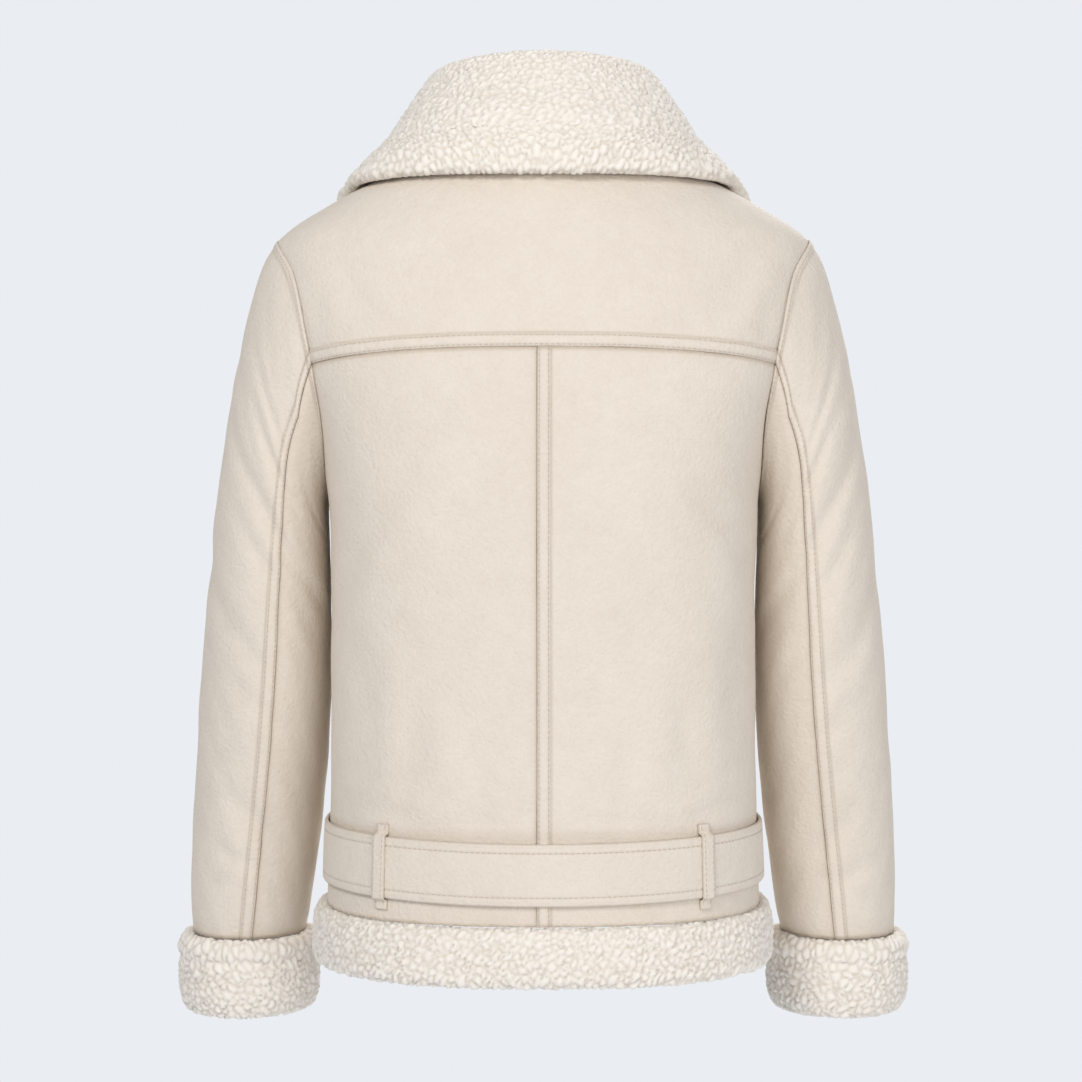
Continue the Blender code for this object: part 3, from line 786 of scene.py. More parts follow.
def shell(name: str, outer: Grid, inner: Grid, shade: Grid, finishes: Finishes,
          lined: bool = True) -> bpy.types.Object:
    """Close a wall between an outer and an inner grid, suede outside and pile inside.

    Args:
        name: the object's name.
        outer: rows by columns by 3.
        inner: the same, a wall's thickness inside.
        shade: painted shade of each outer point.
        finishes: the jacket's finishes.
        lined: whether the inner face is pile, and not suede.

    Returns:
        The panel.
    """
    rows, cols = outer.shape[:2]
    count = rows * cols
    index = np.arange(count).reshape(rows, cols)
    a, b = index[:-1, :-1].ravel(), index[:-1, 1:].ravel()
    c, d = index[1:, 1:].ravel(), index[1:, :-1].ravel()
    front = np.stack((a, b, c, d), axis=1)
    back = np.stack((a, d, c, b), axis=1) + count
    rims = []
    for line, turned in ((index[0], True), (index[-1], False), (index[:, 0], False), (index[:, -1], True)):
        p, q = line[:-1], line[1:]
        edge = np.stack((p, q, q + count, p + count), axis=1)
        rims.append(edge[:, ::-1] if turned else edge)
    rims = np.concatenate(rims)
    faces = [tuple(f) for f in np.concatenate((front, back, rims)).tolist()]
    slots = np.concatenate((np.zeros(len(front)), np.full(len(back), float(lined)), np.zeros(len(rims))))
    points = np.concatenate((outer.reshape(-1, 3), inner.reshape(-1, 3)))
    marks = {"shade": np.concatenate((shade.ravel(), np.zeros(count)))}
    return link_mesh(name, points, faces, (finishes.suede, finishes.backing), slots, marks)


def surface_area(points: Grid) -> float:
    """Return the area of a grid of points."""
    doubled = np.cross(points[1:, 1:] - points[:-1, :-1], points[1:, :-1] - points[:-1, 1:])
    return float(np.linalg.norm(doubled, axis=-1).sum() / 2)


def grid_run(points: Grid, axis: int) -> Grid:
    """Return the distance run along an axis of a grid of points."""
    step = np.linalg.norm(np.diff(points, axis=axis), axis=-1)
    pad = [(0, 0), (0, 0)]
    pad[axis] = (1, 0)
    return np.cumsum(np.pad(step, pad), axis=axis)


def declare_cloth(layer: Grid, node: str) -> None:
    """Work out a piece's width, length and area from one of its layers; nothing is kept or used.

    Args:
        layer: the layer's points, rows by columns by 3.
        node: the solid that it stands for; not used.
    """
    width = float(grid_run(layer, 1)[:, -1].max())
    length = float(grid_run(layer, 0)[-1].max())
    area = float(np.clip(surface_area(layer), LEAST_FLAT_SHARE * width * length, width * length))


@dataclass
class StitchWork:
    """All the sewing: short rounded stitches laid along the seams' own lines."""

    finishes: Finishes
    pitch: float = 0.0042
    length: float = 0.0031
    thick: float = 0.00070
    blunt: float = 0.55
    inside: tuple[float, float, float] = (0.4, 0.4, 1.0)
    runs: list[tuple[Grid, Grid]] = field(default_factory=list)

    def follow(self, points: Grid, distance: Grid, level: float, axis: int) -> None:
        """Add a row of stitches where a distance over a surface has one value.

        Args:
            points: the surface, rows by columns by 3.
            distance: the distance at each point.
            level: the value that the row follows.
            axis: the axis along which the distance changes.
        """
        normals = grid_normals(points)
        middle = points.reshape(-1, 3).mean(axis=0)
        if axis == 0:
            points, normals, distance = points.swapaxes(0, 1), normals.swapaxes(0, 1), distance.T
        spots, outs = [], []
        for row, out, keys in zip(points, normals, distance):
            order = np.argsort(keys)
            if keys[order[0]] <= level <= keys[order[-1]]:
                spots.append(read_line(level, keys[order], row[order]))
                outs.append(read_line(level, keys[order], out[order]))
        if len(spots) > 2:
            spots, outs = np.array(spots), np.array(outs)
            facing = (outs * (spots - middle * self.inside)).sum()
            self.runs.append((spots, outs * np.sign(facing)))

    def capsule(self) -> tuple[Grid, Faces]:
        """Return one stitch's points and faces, along X with its top at +Z."""
        bpy.ops.object.select_all(action="DESELECT")
        lying = (0, math.pi / 2, 0)
        bpy.ops.mesh.primitive_uv_sphere_add(segments=6, ring_count=4, radius=0.5, rotation=lying)
        bpy.ops.object.transform_apply(rotation=True)
        edit_active((self.length, self.thick, self.thick))
        points, faces = taken_shape()
        share = np.abs(points[:, 0]) / (self.length / 2)
        points[:, 0] = np.sign(points[:, 0]) * self.length / 2 * share ** self.blunt
        return points, faces

    def build(self) -> bpy.types.Object:
        """Return one object with every stitch."""
        made = []
        for line, outs in self.runs:
            run = np.concatenate(((0.0,), np.cumsum(np.linalg.norm(np.diff(line, axis=0), axis=-1))))
            places = np.arange(self.pitch * 0.6, run[-1] - self.pitch * 0.4, self.pitch)
            along = unit(read_line(places + 0.001, run, line) - read_line(places - 0.001, run, line))
            out = read_line(places, run, outs)
            out = unit(out - along * (out * along).sum(axis=-1, keepdims=True))
            made += zip(read_line(places, run, line), along, np.cross(out, along), out)
        work = repeated("stitches", *self.capsule(), made, self.finishes.thread)
        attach(work, "jacket")
        return work


@dataclass
class SeamRelief:
    """The relief that a lapped, twice stitched seam gives a panel's edge."""

    lift: float = LAP
    band: float = 0.0100
    stitch_in: float = 0.0014
    groove: float = 0.00045

    def rows(self, distance: Grid, reach: float) -> Grid:
        """Return 1 on the seam's two rows of stitches, fading beside them."""
        return near(distance - self.stitch_in, reach) + near(distance - self.band + self.stitch_in, reach)

    def height(self, distance: Grid) -> Grid:
        """Return the relief at distances in from a lapped edge."""
        top = self.lift * (1 - smooth_step((distance - self.band + 0.0008) / 0.0016))
        worn = 0.0005 * near(distance, 0.0008)
        puff = 0.00025 * np.sin(np.clip(distance / self.band, 0, 1) * math.pi) * (distance < self.band)
        return top - worn - self.groove * self.rows(distance, 0.0009) + puff

    def shade(self, distance: Grid) -> Grid:
        """Return the painted shade at distances in from a lapped edge, on its stitch rows and just past its
        raised edge.
        """
        return 0.42 * self.rows(distance, 0.0008) + 0.60 * near(distance - self.band - 0.0006, 0.0010)

    def under_shade(self, distance: Grid) -> Grid:
        """Return the painted shadow on the panel that lies under a lapped edge."""
        return 0.75 * near(distance, 0.0012) + 0.22 * near(distance, 0.004)

    def sew(self, stitches: StitchWork, points: Grid, distance: Grid, axis: int) -> None:
        """Add the seam's two rows of stitches."""
        for row in (self.stitch_in, self.band - self.stitch_in):
            stitches.follow(points, distance, row, axis)


class PanelPlace(Enum):
    """Where a trunk panel lies."""

    YOKE = "yoke"
    BACK_LEFT = "back_left"
    BACK_RIGHT = "back_right"
    FRONT_LEFT = "front_left"
    FRONT_RIGHT = "front_right"


BACK_CREASES = (
    Crease(0.060, -0.505, 0.0016, 0.070, 78, 0.011), Crease(0.112, -0.480, 0.0019, 0.085, 96, 0.012),
    Crease(0.150, -0.440, 0.0015, 0.080, 84, 0.012), Crease(0.030, -0.520, 0.0010, 0.045, 70, 0.009),
    Crease(0.135, -0.300, 0.0016, 0.075, 128, 0.012), Crease(0.105, -0.245, 0.0013, 0.060, 140, 0.013),
    Crease(0.165, -0.350, 0.0012, 0.060, 110, 0.010), Crease(0.075, -0.360, 0.0008, 0.090, 100, 0.016),
    Crease(0.130, -0.530, 0.0012, 0.040, 12, 0.007), Crease(0.070, -0.537, 0.0010, 0.050, -8, 0.007),
)
YOKE_CREASES = (
    Crease(0.150, -0.120, 0.0013, 0.055, 62, 0.011), Crease(0.120, -0.150, 0.0009, 0.050, 25, 0.010),
    Crease(0.175, -0.145, 0.0010, 0.035, 70, 0.008), Crease(0.060, -0.090, 0.0008, 0.070, 8, 0.013),
)
FRONT_CREASES = (
    Crease(0.120, -0.250, 0.0018, 0.070, 52, 0.012), Crease(0.080, -0.330, 0.0014, 0.080, 64, 0.013),
    Crease(0.140, -0.420, 0.0018, 0.080, 94, 0.012), Crease(0.060, -0.480, 0.0015, 0.070, 84, 0.011),
    Crease(0.100, -0.525, 0.0013, 0.050, 10, 0.008), Crease(0.150, -0.500, 0.0012, 0.060, 70, 0.010),
    Crease(0.040, -0.200, 0.0010, 0.050, 30, 0.012),
)


@dataclass
class TrunkPanel:
    """One suede panel of the trunk, a thin wall on the trunk's form."""

    place: PanelPlace
    trunk: TrunkForm
    finishes: Finishes
    step: float = 0.0042
    ridge_rows: int = 5
    side_rows: int = 10
    seam: SeamRelief = field(default_factory=SeamRelief)
    edge_row: float = 0.006
    left_shift: float = 0.012

    @property
    def side(self) -> int:
        """Return 1 on the wearer's left and -1 on the right."""
        return -1 if self.place in (PanelPlace.BACK_RIGHT, PanelPlace.FRONT_RIGHT) else 1

    @property
    def is_yoke(self) -> bool:
        """Return whether this is the yoke."""
        return self.place is PanelPlace.YOKE

    @property
    def is_back(self) -> bool:
        """Return whether this is a back panel below the yoke."""
        return self.place in (PanelPlace.BACK_LEFT, PanelPlace.BACK_RIGHT)

    def edge(self, run: Grid) -> tuple[Grid, Grid]:
        """Return the outer edge's angle and height at places down it, from 0 to 1."""
        if self.is_yoke:
            return self._joined(run, self.ridge_rows, ARM_BACK_STEPS[:7], 0)
        if self.is_back:
            return self._joined(run, 0, ARM_BACK_STEPS[6:], self.side_rows)
        return self._joined(run, self.ridge_rows, ARM_FRONT_STEPS, self.side_rows)

    def _joined(self, run: Grid, ridge: int, arm: tuple[float, ...], side: int) -> tuple[Grid, Grid]:
        """Return an edge made of the shoulder ridge, the armhole and the side seam."""
        arm_count = len(arm) - 1
        place = run * (ridge + arm_count + side)
        phi = np.interp(place - ridge, np.arange(arm_count + 1), arm)
        angle, height = self.trunk.armhole(phi)
        top = float(self.trunk.neck_height(np.array(90.0)))
        if ridge:
            on_ridge = place < ridge
            angle = np.where(on_ridge, 90.0, angle)
            height = np.where(on_ridge, top + (SHOULDER_TIP - top) * place / ridge, height)
        on_side = place > ridge + arm_count
        down = (place - ridge - arm_count) / max(side, 1)
        angle = np.where(on_side, 90.0, angle)
        height = np.where(on_side, UNDERARM + (BODY_END - UNDERARM) * down, height)
        return angle, height

    def places(self, across: Grid, down: Grid) -> tuple[Grid, Grid]:
        """Return the trunk angles and heights of the panel's grid.

        Args:
            across: shares from the panel's first edge to its outer edge.
            down: shares from its top to its bottom.

        Returns:
            Angles and heights, rows by columns.
        """
        edge_angle, edge_z = (value[:, None] for value in self.edge(down))
        across = across[None, :]
        if self.is_yoke:
            share = across * 2 - 1
            centre = (YOKE_CENTRE * down)[:, None]
            return edge_angle * share, centre + (edge_z - centre) * np.abs(share) ** 3
        if self.is_back:
            centre = (YOKE_CENTRE + (BODY_END - YOKE_CENTRE) * down)[:, None]
            start = BACK_SEAM_ANGLE + (0.1 if self.side > 0 else 0.0)
            angle = start + (edge_angle * self.side - start) * across
            return angle, centre + (edge_z - centre) * (np.abs(angle) / edge_angle) ** 3
        centre = (-NECK_DROP + (BODY_END + NECK_DROP) * down)[:, None]
        start = np.full_like(centre, 180.0)
        for _ in range(8):
            place = (180 - np.minimum(start, 360 - start)) / (180 - edge_angle)
            line = self.trunk.zip_angle(centre + (edge_z - centre) * place ** NECK_CURVE)
            start = (line if self.side > 0 else 360 - line) - self.trunk.zip_half_angle
        turn = start + (edge_angle + 0.3 - start) * across
        place = (180 - np.minimum(turn, 360 - turn)) / (180 - edge_angle)
        return turn * self.side, centre + (edge_z - centre) * np.maximum(place, 0) ** NECK_CURVE

    def relief(self, points: Grid, height: Grid) -> tuple[Grid, Grid]:
        """Return the outer face's relief and its shade, from the panel's seams and creases."""
        along = grid_run(points, 0)
        across = grid_run(points, 1)
        from_bottom = along[-1:, :] - along
        from_outer = across[:, -1:] - across
        reach = np.abs(points[..., 0])
        left = self.side > 0
        if self.is_yoke:
            from_outer = np.minimum(from_outer, across)
            rise = self.seam.height(from_bottom) - drawn(YOKE_CREASES, reach, height)
            shade = self.seam.shade(from_bottom)
        elif self.is_back:
            rise = -drawn(BACK_CREASES, reach + left * self.left_shift, height)
            rise = rise if left else rise + self.seam.height(across)
            beside_seam = self.seam.under_shade(across) if left else self.seam.shade(across)
            shade = self.seam.under_shade(along) + beside_seam
        else:
            rise = -drawn(FRONT_CREASES, reach + left * 0.01, height)
            rise = rise - self.seam.groove * near(across - self.edge_row, 0.0009)
            rise = rise + 0.0004 * near(across - self.edge_row / 2, 0.002)
            shade = 0.30 * near(across - self.edge_row, 0.0008)
        arm = height > UNDERARM
        # Painted shade: darker along the outer edge, more so beside the armhole.
        shade = shade + 0.45 * near(from_outer, 0.0010) + 0.22 * near(from_outer, 0.006) * arm
        # Painted shade: darker near the outer edge below the yoke, beside the sleeve.
        beside = smooth_step((YOKE_CENTRE - 0.02 - height) / 0.05) * (not self.is_yoke)
        shade = shade + beside * (0.18 * near(from_outer, 0.010) + 0.08 * near(from_outer, 0.034))
        rise = rise - 0.0005 * near(from_outer, 0.0012)
        seed = 1.3 + 2.1 * list(PanelPlace).index(self.place)
        rise = rise + undulation(points[..., 0], height, 0.0007, seed)
        under_belt = smooth_step((BELT_TOP + 0.012 - height) / 0.012)
        calm = 1 - 0.85 * under_belt
        rise = np.where(rise < LAP * 0.6, np.minimum(rise * calm, 0.0011), rise)
        # Painted shadow along the belt's top edge.
        shade = shade + 0.35 * near(height - BELT_TOP - 0.001, 0.004)
        return rise, np.clip(shade, 0, 1)

    def build(self, stitches: StitchWork) -> bpy.types.Object:
        """Return the finished panel, and add the stitches of its seams."""
        span = 0.44 if self.is_yoke else 0.24
        tall = 0.19 if self.is_yoke else 0.44 if self.is_back else 0.57
        down = even_places(tall, self.step, (tall - 0.005,) if self.is_yoke else (), 0.008, 0.0012)
        across = even_places(span, self.step, () if self.is_yoke else (0.0050,), 0.008, 0.0012)
        angle, height = self.places(across, down)
        base = self.trunk.point(angle, height)
        normal = self.trunk.normal(angle, height)
        rise, shade = self.relief(base, height)
        outer = base + normal * rise[..., None]
        panel = shell(f"{self.place.value}_shell", outer, base - normal * LEATHER, shade, self.finishes)
        dress(panel, self.place.value)
        declare_cloth(base, self.place.value)
        along, run = grid_run(base, 0), grid_run(base, 1)
        if self.is_yoke:
            self.seam.sew(stitches, outer, along[-1:, :] - along, 0)
        elif self.place is PanelPlace.BACK_RIGHT:
            self.seam.sew(stitches, outer, run, 1)
        elif not self.is_back:
            stitches.follow(outer, run, self.edge_row, 1)
        return panel


SLEEVE_FOLDS = (
    (0.42, 70.0, 0.0022, 0.10, 30.0), (0.52, 118.0, 0.0026, 0.10, 38.0), (0.60, 55.0, 0.0020, 0.08, 34.0),
    (0.56, -75.0, 0.0030, 0.09, 46.0), (0.66, -95.0, 0.0024, 0.08, 40.0), (0.84, 95.0, 0.0022, 0.07, 42.0),
    (0.86, -60.0, 0.0022, 0.07, 44.0),
)
SLEEVE_CREASES = (
    Crease(0.075, 0.150, 0.0013, 0.050, 28, 0.009), Crease(0.098, 0.205, 0.0017, 0.060, 35, 0.010),
    Crease(0.060, 0.245, 0.0014, 0.055, 22, 0.008), Crease(0.104, 0.270, 0.0020, 0.060, 38, 0.009),
    Crease(0.085, 0.300, 0.0016, 0.050, 30, 0.008), Crease(0.110, 0.335, 0.0018, 0.055, 44, 0.009),
    Crease(0.070, 0.365, 0.0013, 0.050, 26, 0.009), Crease(0.095, 0.410, 0.0012, 0.050, 18, 0.008),
    Crease(0.060, 0.455, 0.0013, 0.045, -20, 0.008), Crease(0.100, 0.490, 0.0017, 0.050, 30, 0.008),
    Crease(0.085, 0.525, 0.0016, 0.050, 14, 0.007), Crease(0.055, 0.550, 0.0012, 0.040, -12, 0.007),
    Crease(-0.070, 0.215, 0.0020, 0.060, -30, 0.010), Crease(-0.085, 0.265, 0.0024, 0.060, -38, 0.010),
    Crease(-0.060, 0.310, 0.0022, 0.060, -24, 0.009), Crease(-0.090, 0.345, 0.0020, 0.050, -42, 0.009),
    Crease(-0.075, 0.480, 0.0018, 0.050, -26, 0.008), Crease(-0.060, 0.530, 0.0016, 0.050, 12, 0.007),
    Crease(0.160, 0.180, 0.0018, 0.050, 50, 0.010), Crease(0.150, 0.300, 0.0018, 0.050, 40, 0.010),
    Crease(0.000, 0.330, 0.0010, 0.060, 8, 0.012), Crease(0.020, 0.180, 0.0010, 0.060, 14, 0.012),
)


@dataclass
class SleevePanel:
    """A sleeve's top piece, or its narrower under piece."""

    sleeve: SleeveForm
    finishes: Finishes
    under: bool
    step: float = 0.0040
    seam: SeamRelief = field(default_factory=SeamRelief)
    fold_length: float = 0.58
    fold_radius: float = 0.06
    fold_width: float = 0.016
    seam_turn_gap: float = 0.16
    over_edge: float = 0.0008
    head_row: float = 0.0044
    left_shift: float = 0.014
    smooth_head: float = 0.15
    top_width: float = 0.215
    under_width: float = 0.14

    @property
    def name(self) -> str:
        """Return the name of the solid that the piece stands for."""
        return f"{'under' if self.under else 'top'}_sleeve_{'left' if self.sleeve.side > 0 else 'right'}"

    def folds(self, share: Grid, phi: Grid) -> Grid:
        """Return how far the sleeve's main folds and creases draw it in."""
        depth = np.zeros(share.shape)
        along = share * self.fold_length
        for place, angle, deep, length, turn in SLEEVE_FOLDS:
            across = math.radians(1) * self.fold_radius * (((phi - angle + 180) % 360) - 180)
            down = along - place * self.fold_length
            s, c = turned(turn)
            trough = near(down * c - across * s, self.fold_width)
            depth += deep * trough * near(across * c + down * s, length * 0.6)
        shift = self.left_shift if self.sleeve.side > 0 else 0.0
        around = math.radians(1) * self.fold_radius * (((phi + 180) % 360) - 180)
        depth += drawn(SLEEVE_CREASES, around, along + shift)
        return depth * np.minimum(1.0, share / self.smooth_head)

    def relief(self, share: Grid, phi: Grid, along: Grid, distance: Grid) -> tuple[Grid, Grid, Grid]:
        """Return the outer face's relief, its shade and how far the cuff's end is tucked in."""
        from_far = distance[:, -1:] - distance
        from_cuff = along[-1:, :] - along
        near_back, near_front = (distance, from_far) if self.under else (from_far, distance)
        seed = 2.0 + self.sleeve.side + self.under * 1.4
        rise = undulation(along, distance, 0.0008, seed) - self.folds(share, phi)
        if self.under:
            # Painted shade: the under piece is a little darker all over, and darker beside its seams.
            shade = self.seam.under_shade(near_back) + self.seam.under_shade(near_front) + 0.04
            # Painted shade: darker near the armhole away from the seams, fading down the sleeve.
            shade += 0.42 * np.exp(-along / 0.13) * smooth_step(np.minimum(near_back, near_front) / 0.02)
        else:
            rise += self.seam.height(near_back) + self.seam.height(near_front) * 0.8
            shade = self.seam.shade(near_back) + self.seam.shade(near_front)
        rise += 0.0013 * (1 - smooth_step((along - 0.0062) / 0.0016)) - 0.0007 * near(along, 0.0008)
        rise -= 0.0004 * near(along - 0.0046, 0.0009)
        # Painted shade: darker along the head's stitch row and edge, and where the cuff covers the end.
        shade += 0.30 * near(along - 0.0046, 0.0008) + 0.50 * near(along - 0.0078, 0.0010)
        shade += 0.4 * near(along, 0.0007) + 0.5 * near(from_cuff, 0.003)
        return rise, np.clip(shade, 0, 1), 0.0016 * near(from_cuff, 0.012)

    def build(self, stitches: StitchWork) -> bpy.types.Object:
        """Return the finished piece, and add the stitches of its seams."""
        down = even_places(self.sleeve.length, self.step)
        width = self.under_width if self.under else self.top_width
        across = even_places(width, self.step, (0.0055, width - 0.0055), 0.009, 0.0012)
        share = np.repeat(down[:, None], len(across), axis=1)
        back, front = self.sleeve.back_seam(share), self.sleeve.front_seam(share)
        low, high = (back, front) if self.under else (front - 360, back)
        gap = self.seam_turn_gap
        phi = low + gap + (high - low - 2 * gap) * across[None, :]
        base, normal = self.sleeve.point(share, phi)
        ahead, _ = self.sleeve.point(share + 0.002, phi)
        base = base - unit(ahead - base) * self.over_edge * np.exp(-share * 60)[..., None]
        distance = grid_run(base, 1)
        along = grid_run(base, 0)
        rise, shade, tuck = self.relief(share, phi, along, distance)
        wall = LEATHER * (0.3 + 0.7 * smooth_step(along / 0.012)) + np.maximum(0, tuck - rise - 0.0012)
        outer = base + normal * (rise - tuck)[..., None]
        piece = shell(f"{self.name}_shell", outer, base - normal * wall[..., None], shade, self.finishes)
        dress(piece, self.name)
        declare_cloth(base, self.name)
        stitches.follow(outer, along, self.head_row, 0)
        if not self.under:
            self.seam.sew(stitches, outer, distance[:, -1:] - distance, 1)
        return piece


@dataclass(frozen=True)
class CurlPattern:
    """The pile's locks: rounded cells of uneven size, with narrow hollows between them."""

    size: float = 0.0056
    seed: float = 1.0
    hollow: float = 0.20

    def _chance(self, i: Grid, j: Grid, which: float) -> Grid:
        """Return an even number between 0 and 1 for each cell."""
        value = np.sin(i * 127.1 + j * 311.7 + which * 74.7 + self.seed * 19.19) * 43758.5453
        return value - np.floor(value)

    def layer(self, u: Grid, v: Grid, cells: int, which: float) -> Grid:
        """Return one layer of locks over cell coordinates.

        Args:
            u: cells along the piece.
            v: cells across it.
            cells: how many cells go round a closed piece, or a large number.
            which: shifts the chances from layer to layer.

        Returns:
            The height, from 0 in the hollows to 1.
        """
        i0, j0 = np.floor(u), np.floor(v)
        first = np.full(u.shape, 9.0)
        second = np.full(u.shape, 9.0)
        top = np.zeros(u.shape)
        for di in (-2, -1, 0, 1, 2):
            for dj in (-2, -1, 0, 1, 2):
                i, j = i0 + di, j0 + dj
                key = np.mod(i, cells)
                dx, dy, turn, tall, long, wide = (self._chance(key, j, which + k) for k in range(1, 7))
                dx = u - (i + 0.5 + 0.9 * (dx - 0.5))
                dy = v - (j + 0.5 + 0.9 * (dy - 0.5))
                c, s = np.cos(turn * math.pi), np.sin(turn * math.pi)
                far = np.hypot((dx * c + dy * s) / (1.0 + 0.22 * long), dy * c - dx * s)
                far = far * (0.88 + 0.24 * wide)
                closer = far < first
                second = np.where(closer, first, np.minimum(second, far))
                top = np.where(closer, 0.72 + 0.28 * tall, top)
                first = np.minimum(first, far)
        wall = 1 - np.exp(-((second - first) / self.hollow) ** 1.3)
        return np.clip(wall * top * (1 - 0.30 * first**2), 0, 1)

    def height(self, u: Grid, v: Grid, cells: int, combed: Grid) -> Grid:
        """Return the height of the locks, two layers of them, bent by a slow wave.

        Args:
            u: cells along the piece.
            v: cells across it.
            cells: how many cells go round a closed piece, or a large number.
            combed: 1 where locks are long and lie across the piece, 0 where they curl.

        Returns:
            The height at each place.
        """
        wave = (1 - 0.6 * combed) * 0.24
        turn = 2 * math.pi / cells
        bent = v + wave * np.sin(u * turn * round(cells * 0.31) + v * 1.3 + self.seed)
        slid = u + wave * np.sin(v * 2.1 + self.seed * 2)
        slid = slid + 0.5 * wave * np.sin(v * 4.4 + u * turn * round(cells * 0.2))
        coarse = self.layer(slid, bent, cells, 0.0)
        fine = self.layer(slid * 2 + 0.5, bent * 2, cells * 2, 20.0)
        return coarse * (0.80 + 0.20 * fine)


def zipped(line: list[int], split: int) -> list[tuple[int, int, int]]:
    """Return the triangles that close a section between its two sides.

    Args:
        line: the section's points in order.
        split: where its second side begins.

    Returns:
        The triangles.
    """
    first, second = line[:split], line[split:][::-1]
    i = j = 0
    faces = []
    while i < len(first) - 1 or j < len(second) - 1:
        ahead = (i + 1) / len(first) <= (j + 1) / len(second)
        if j == len(second) - 1 or (i < len(first) - 1 and ahead):
            faces.append((first[i], first[i + 1], second[j]))
            i += 1
        else:
            faces.append((first[i], second[j + 1], second[j]))
            j += 1
    return faces


@dataclass
class PileBody:
    """A rounded piece of pile: loops of points round its section, raised into locks."""

    name: str
    node: str
    finishes: Finishes
    flat: tuple[float, float]
    pattern: CurlPattern
    depth: float = 0.0032
    sink: float = 0.0016

    def build(self, base: Grid, normal: Grid, amount: Grid, combed: Grid, closed: bool,
              split: int = 0) -> bpy.types.Object:
        """Raise the locks and close the body.

        Args:
            base: section points by places along by 3.
            normal: outward normals of the same shape.
            amount: how much each section row is raised, from 0 to 1.
            combed: how combed each section row is, from 0 to 1.
            closed: whether the run along is a ring.
            split: the section row at which an open body's inner side begins.

        Returns:
            The finished piece.
        """
        rows, cols = base.shape[:2]
        middle = base.mean(axis=0)
        step = np.linalg.norm(np.diff(middle, axis=0), axis=-1)
        length = step.sum() + (np.linalg.norm(middle[0] - middle[-1]) if closed else 0)
        cells = max(3, round(length / self.pattern.size)) if closed else 100000
        scale = cells * self.pattern.size / length if closed else 1.0
        along = np.concatenate(((0.0,), np.cumsum(step))) * scale
        tall = np.linalg.norm(np.diff(base, axis=0), axis=-1).mean(axis=1) / (1 + 1.5 * combed[1:])
        around = np.concatenate(((0.0,), np.cumsum(tall)))
        u, v, lie = np.broadcast_arrays(along[None, :], around[:, None], combed[:, None])
        curl = self.pattern.height(u / self.pattern.size, v / self.pattern.size, cells, lie)
        fade = np.ones(cols)
        if not closed:
            ends = np.minimum(along, along[-1] - along)
            fade = smooth_step(ends / 0.003) * 0.8 + 0.2
        rise = (curl * self.depth - self.sink) * amount[:, None] * fade[None, :]
        points = (base + normal * rise[..., None]).reshape(-1, 3)
        index = np.arange(rows * cols).reshape(rows, cols)
        nxt = np.roll(index, -1, axis=0)
        if closed:
            a, b, c, d = index, np.roll(index, -1, axis=1), np.roll(nxt, -1, axis=1), nxt
        else:
            a, b, c, d = index[:, :-1], index[:, 1:], nxt[:, 1:], nxt[:, :-1]
        faces = [tuple(f) for f in np.stack((a.ravel(), b.ravel(), c.ravel(), d.ravel()), axis=1).tolist()]
        if not closed:
            faces += zipped(index[:, 0].tolist(), split)
            faces += [face[::-1] for face in zipped(index[:, -1].tolist(), split)]
        piece = link_mesh(self.name, points, faces, (self.finishes.pile,), None, {"curl": curl.ravel()})
        dress(piece, self.node)
        return piece


def rounded_section(half_high: float, half_thick: float, power: float, fine: float,
                    coarse: float) -> tuple[Grid, Grid, Grid]:
    """Return a rounded section's points, as height and outward offset from its middle.

    Args:
        half_high: half its height.
        half_thick: half its thickness.
        power: how square it is.
        fine: spacing on the outer side.
        coarse: spacing on the inner side.

    Returns:
        Heights, offsets and the share of the way in, 0 outside and 1 inside.
    """
    turn = np.linspace(0, 2 * math.pi, 4001)
    high = half_high * np.sign(np.cos(turn)) * np.abs(np.cos(turn)) ** (2 / power)
    thick = half_thick * np.sign(np.sin(turn)) * np.abs(np.sin(turn)) ** (2 / power)
    inside = smooth_step((-thick / half_thick + 0.1) / 0.8)
    step = np.hypot(np.diff(high), np.diff(thick)) / (fine + (coarse - fine) * inside[:-1])
    run = np.concatenate(((0.0,), np.cumsum(step)))
    count = int(round(run[-1]))
    places = np.linspace(0, run[-1], count + 1)[:-1]
    return (np.interp(places, run, high), np.interp(places, run, thick), np.interp(places, run, inside))


def section_normals(base: Grid, closed: bool) -> Grid:
    """Return outward normals of a run of closed sections.

    Args:
        base: section points by places along by 3.
        closed: whether the run along is a ring.

    Returns:
        Unit normals of the same shape.
    """
    around = np.roll(base, -1, axis=0) - np.roll(base, 1, axis=0)
    if closed:
        along = np.roll(base, -1, axis=1) - np.roll(base, 1, axis=1)
    else:
        along = np.gradient(base, axis=1)
    normal = unit(np.cross(around, along))
    outward = base - base.mean(axis=0, keepdims=True)
    return normal * (1.0 if (normal * outward).sum() > 0 else -1.0)


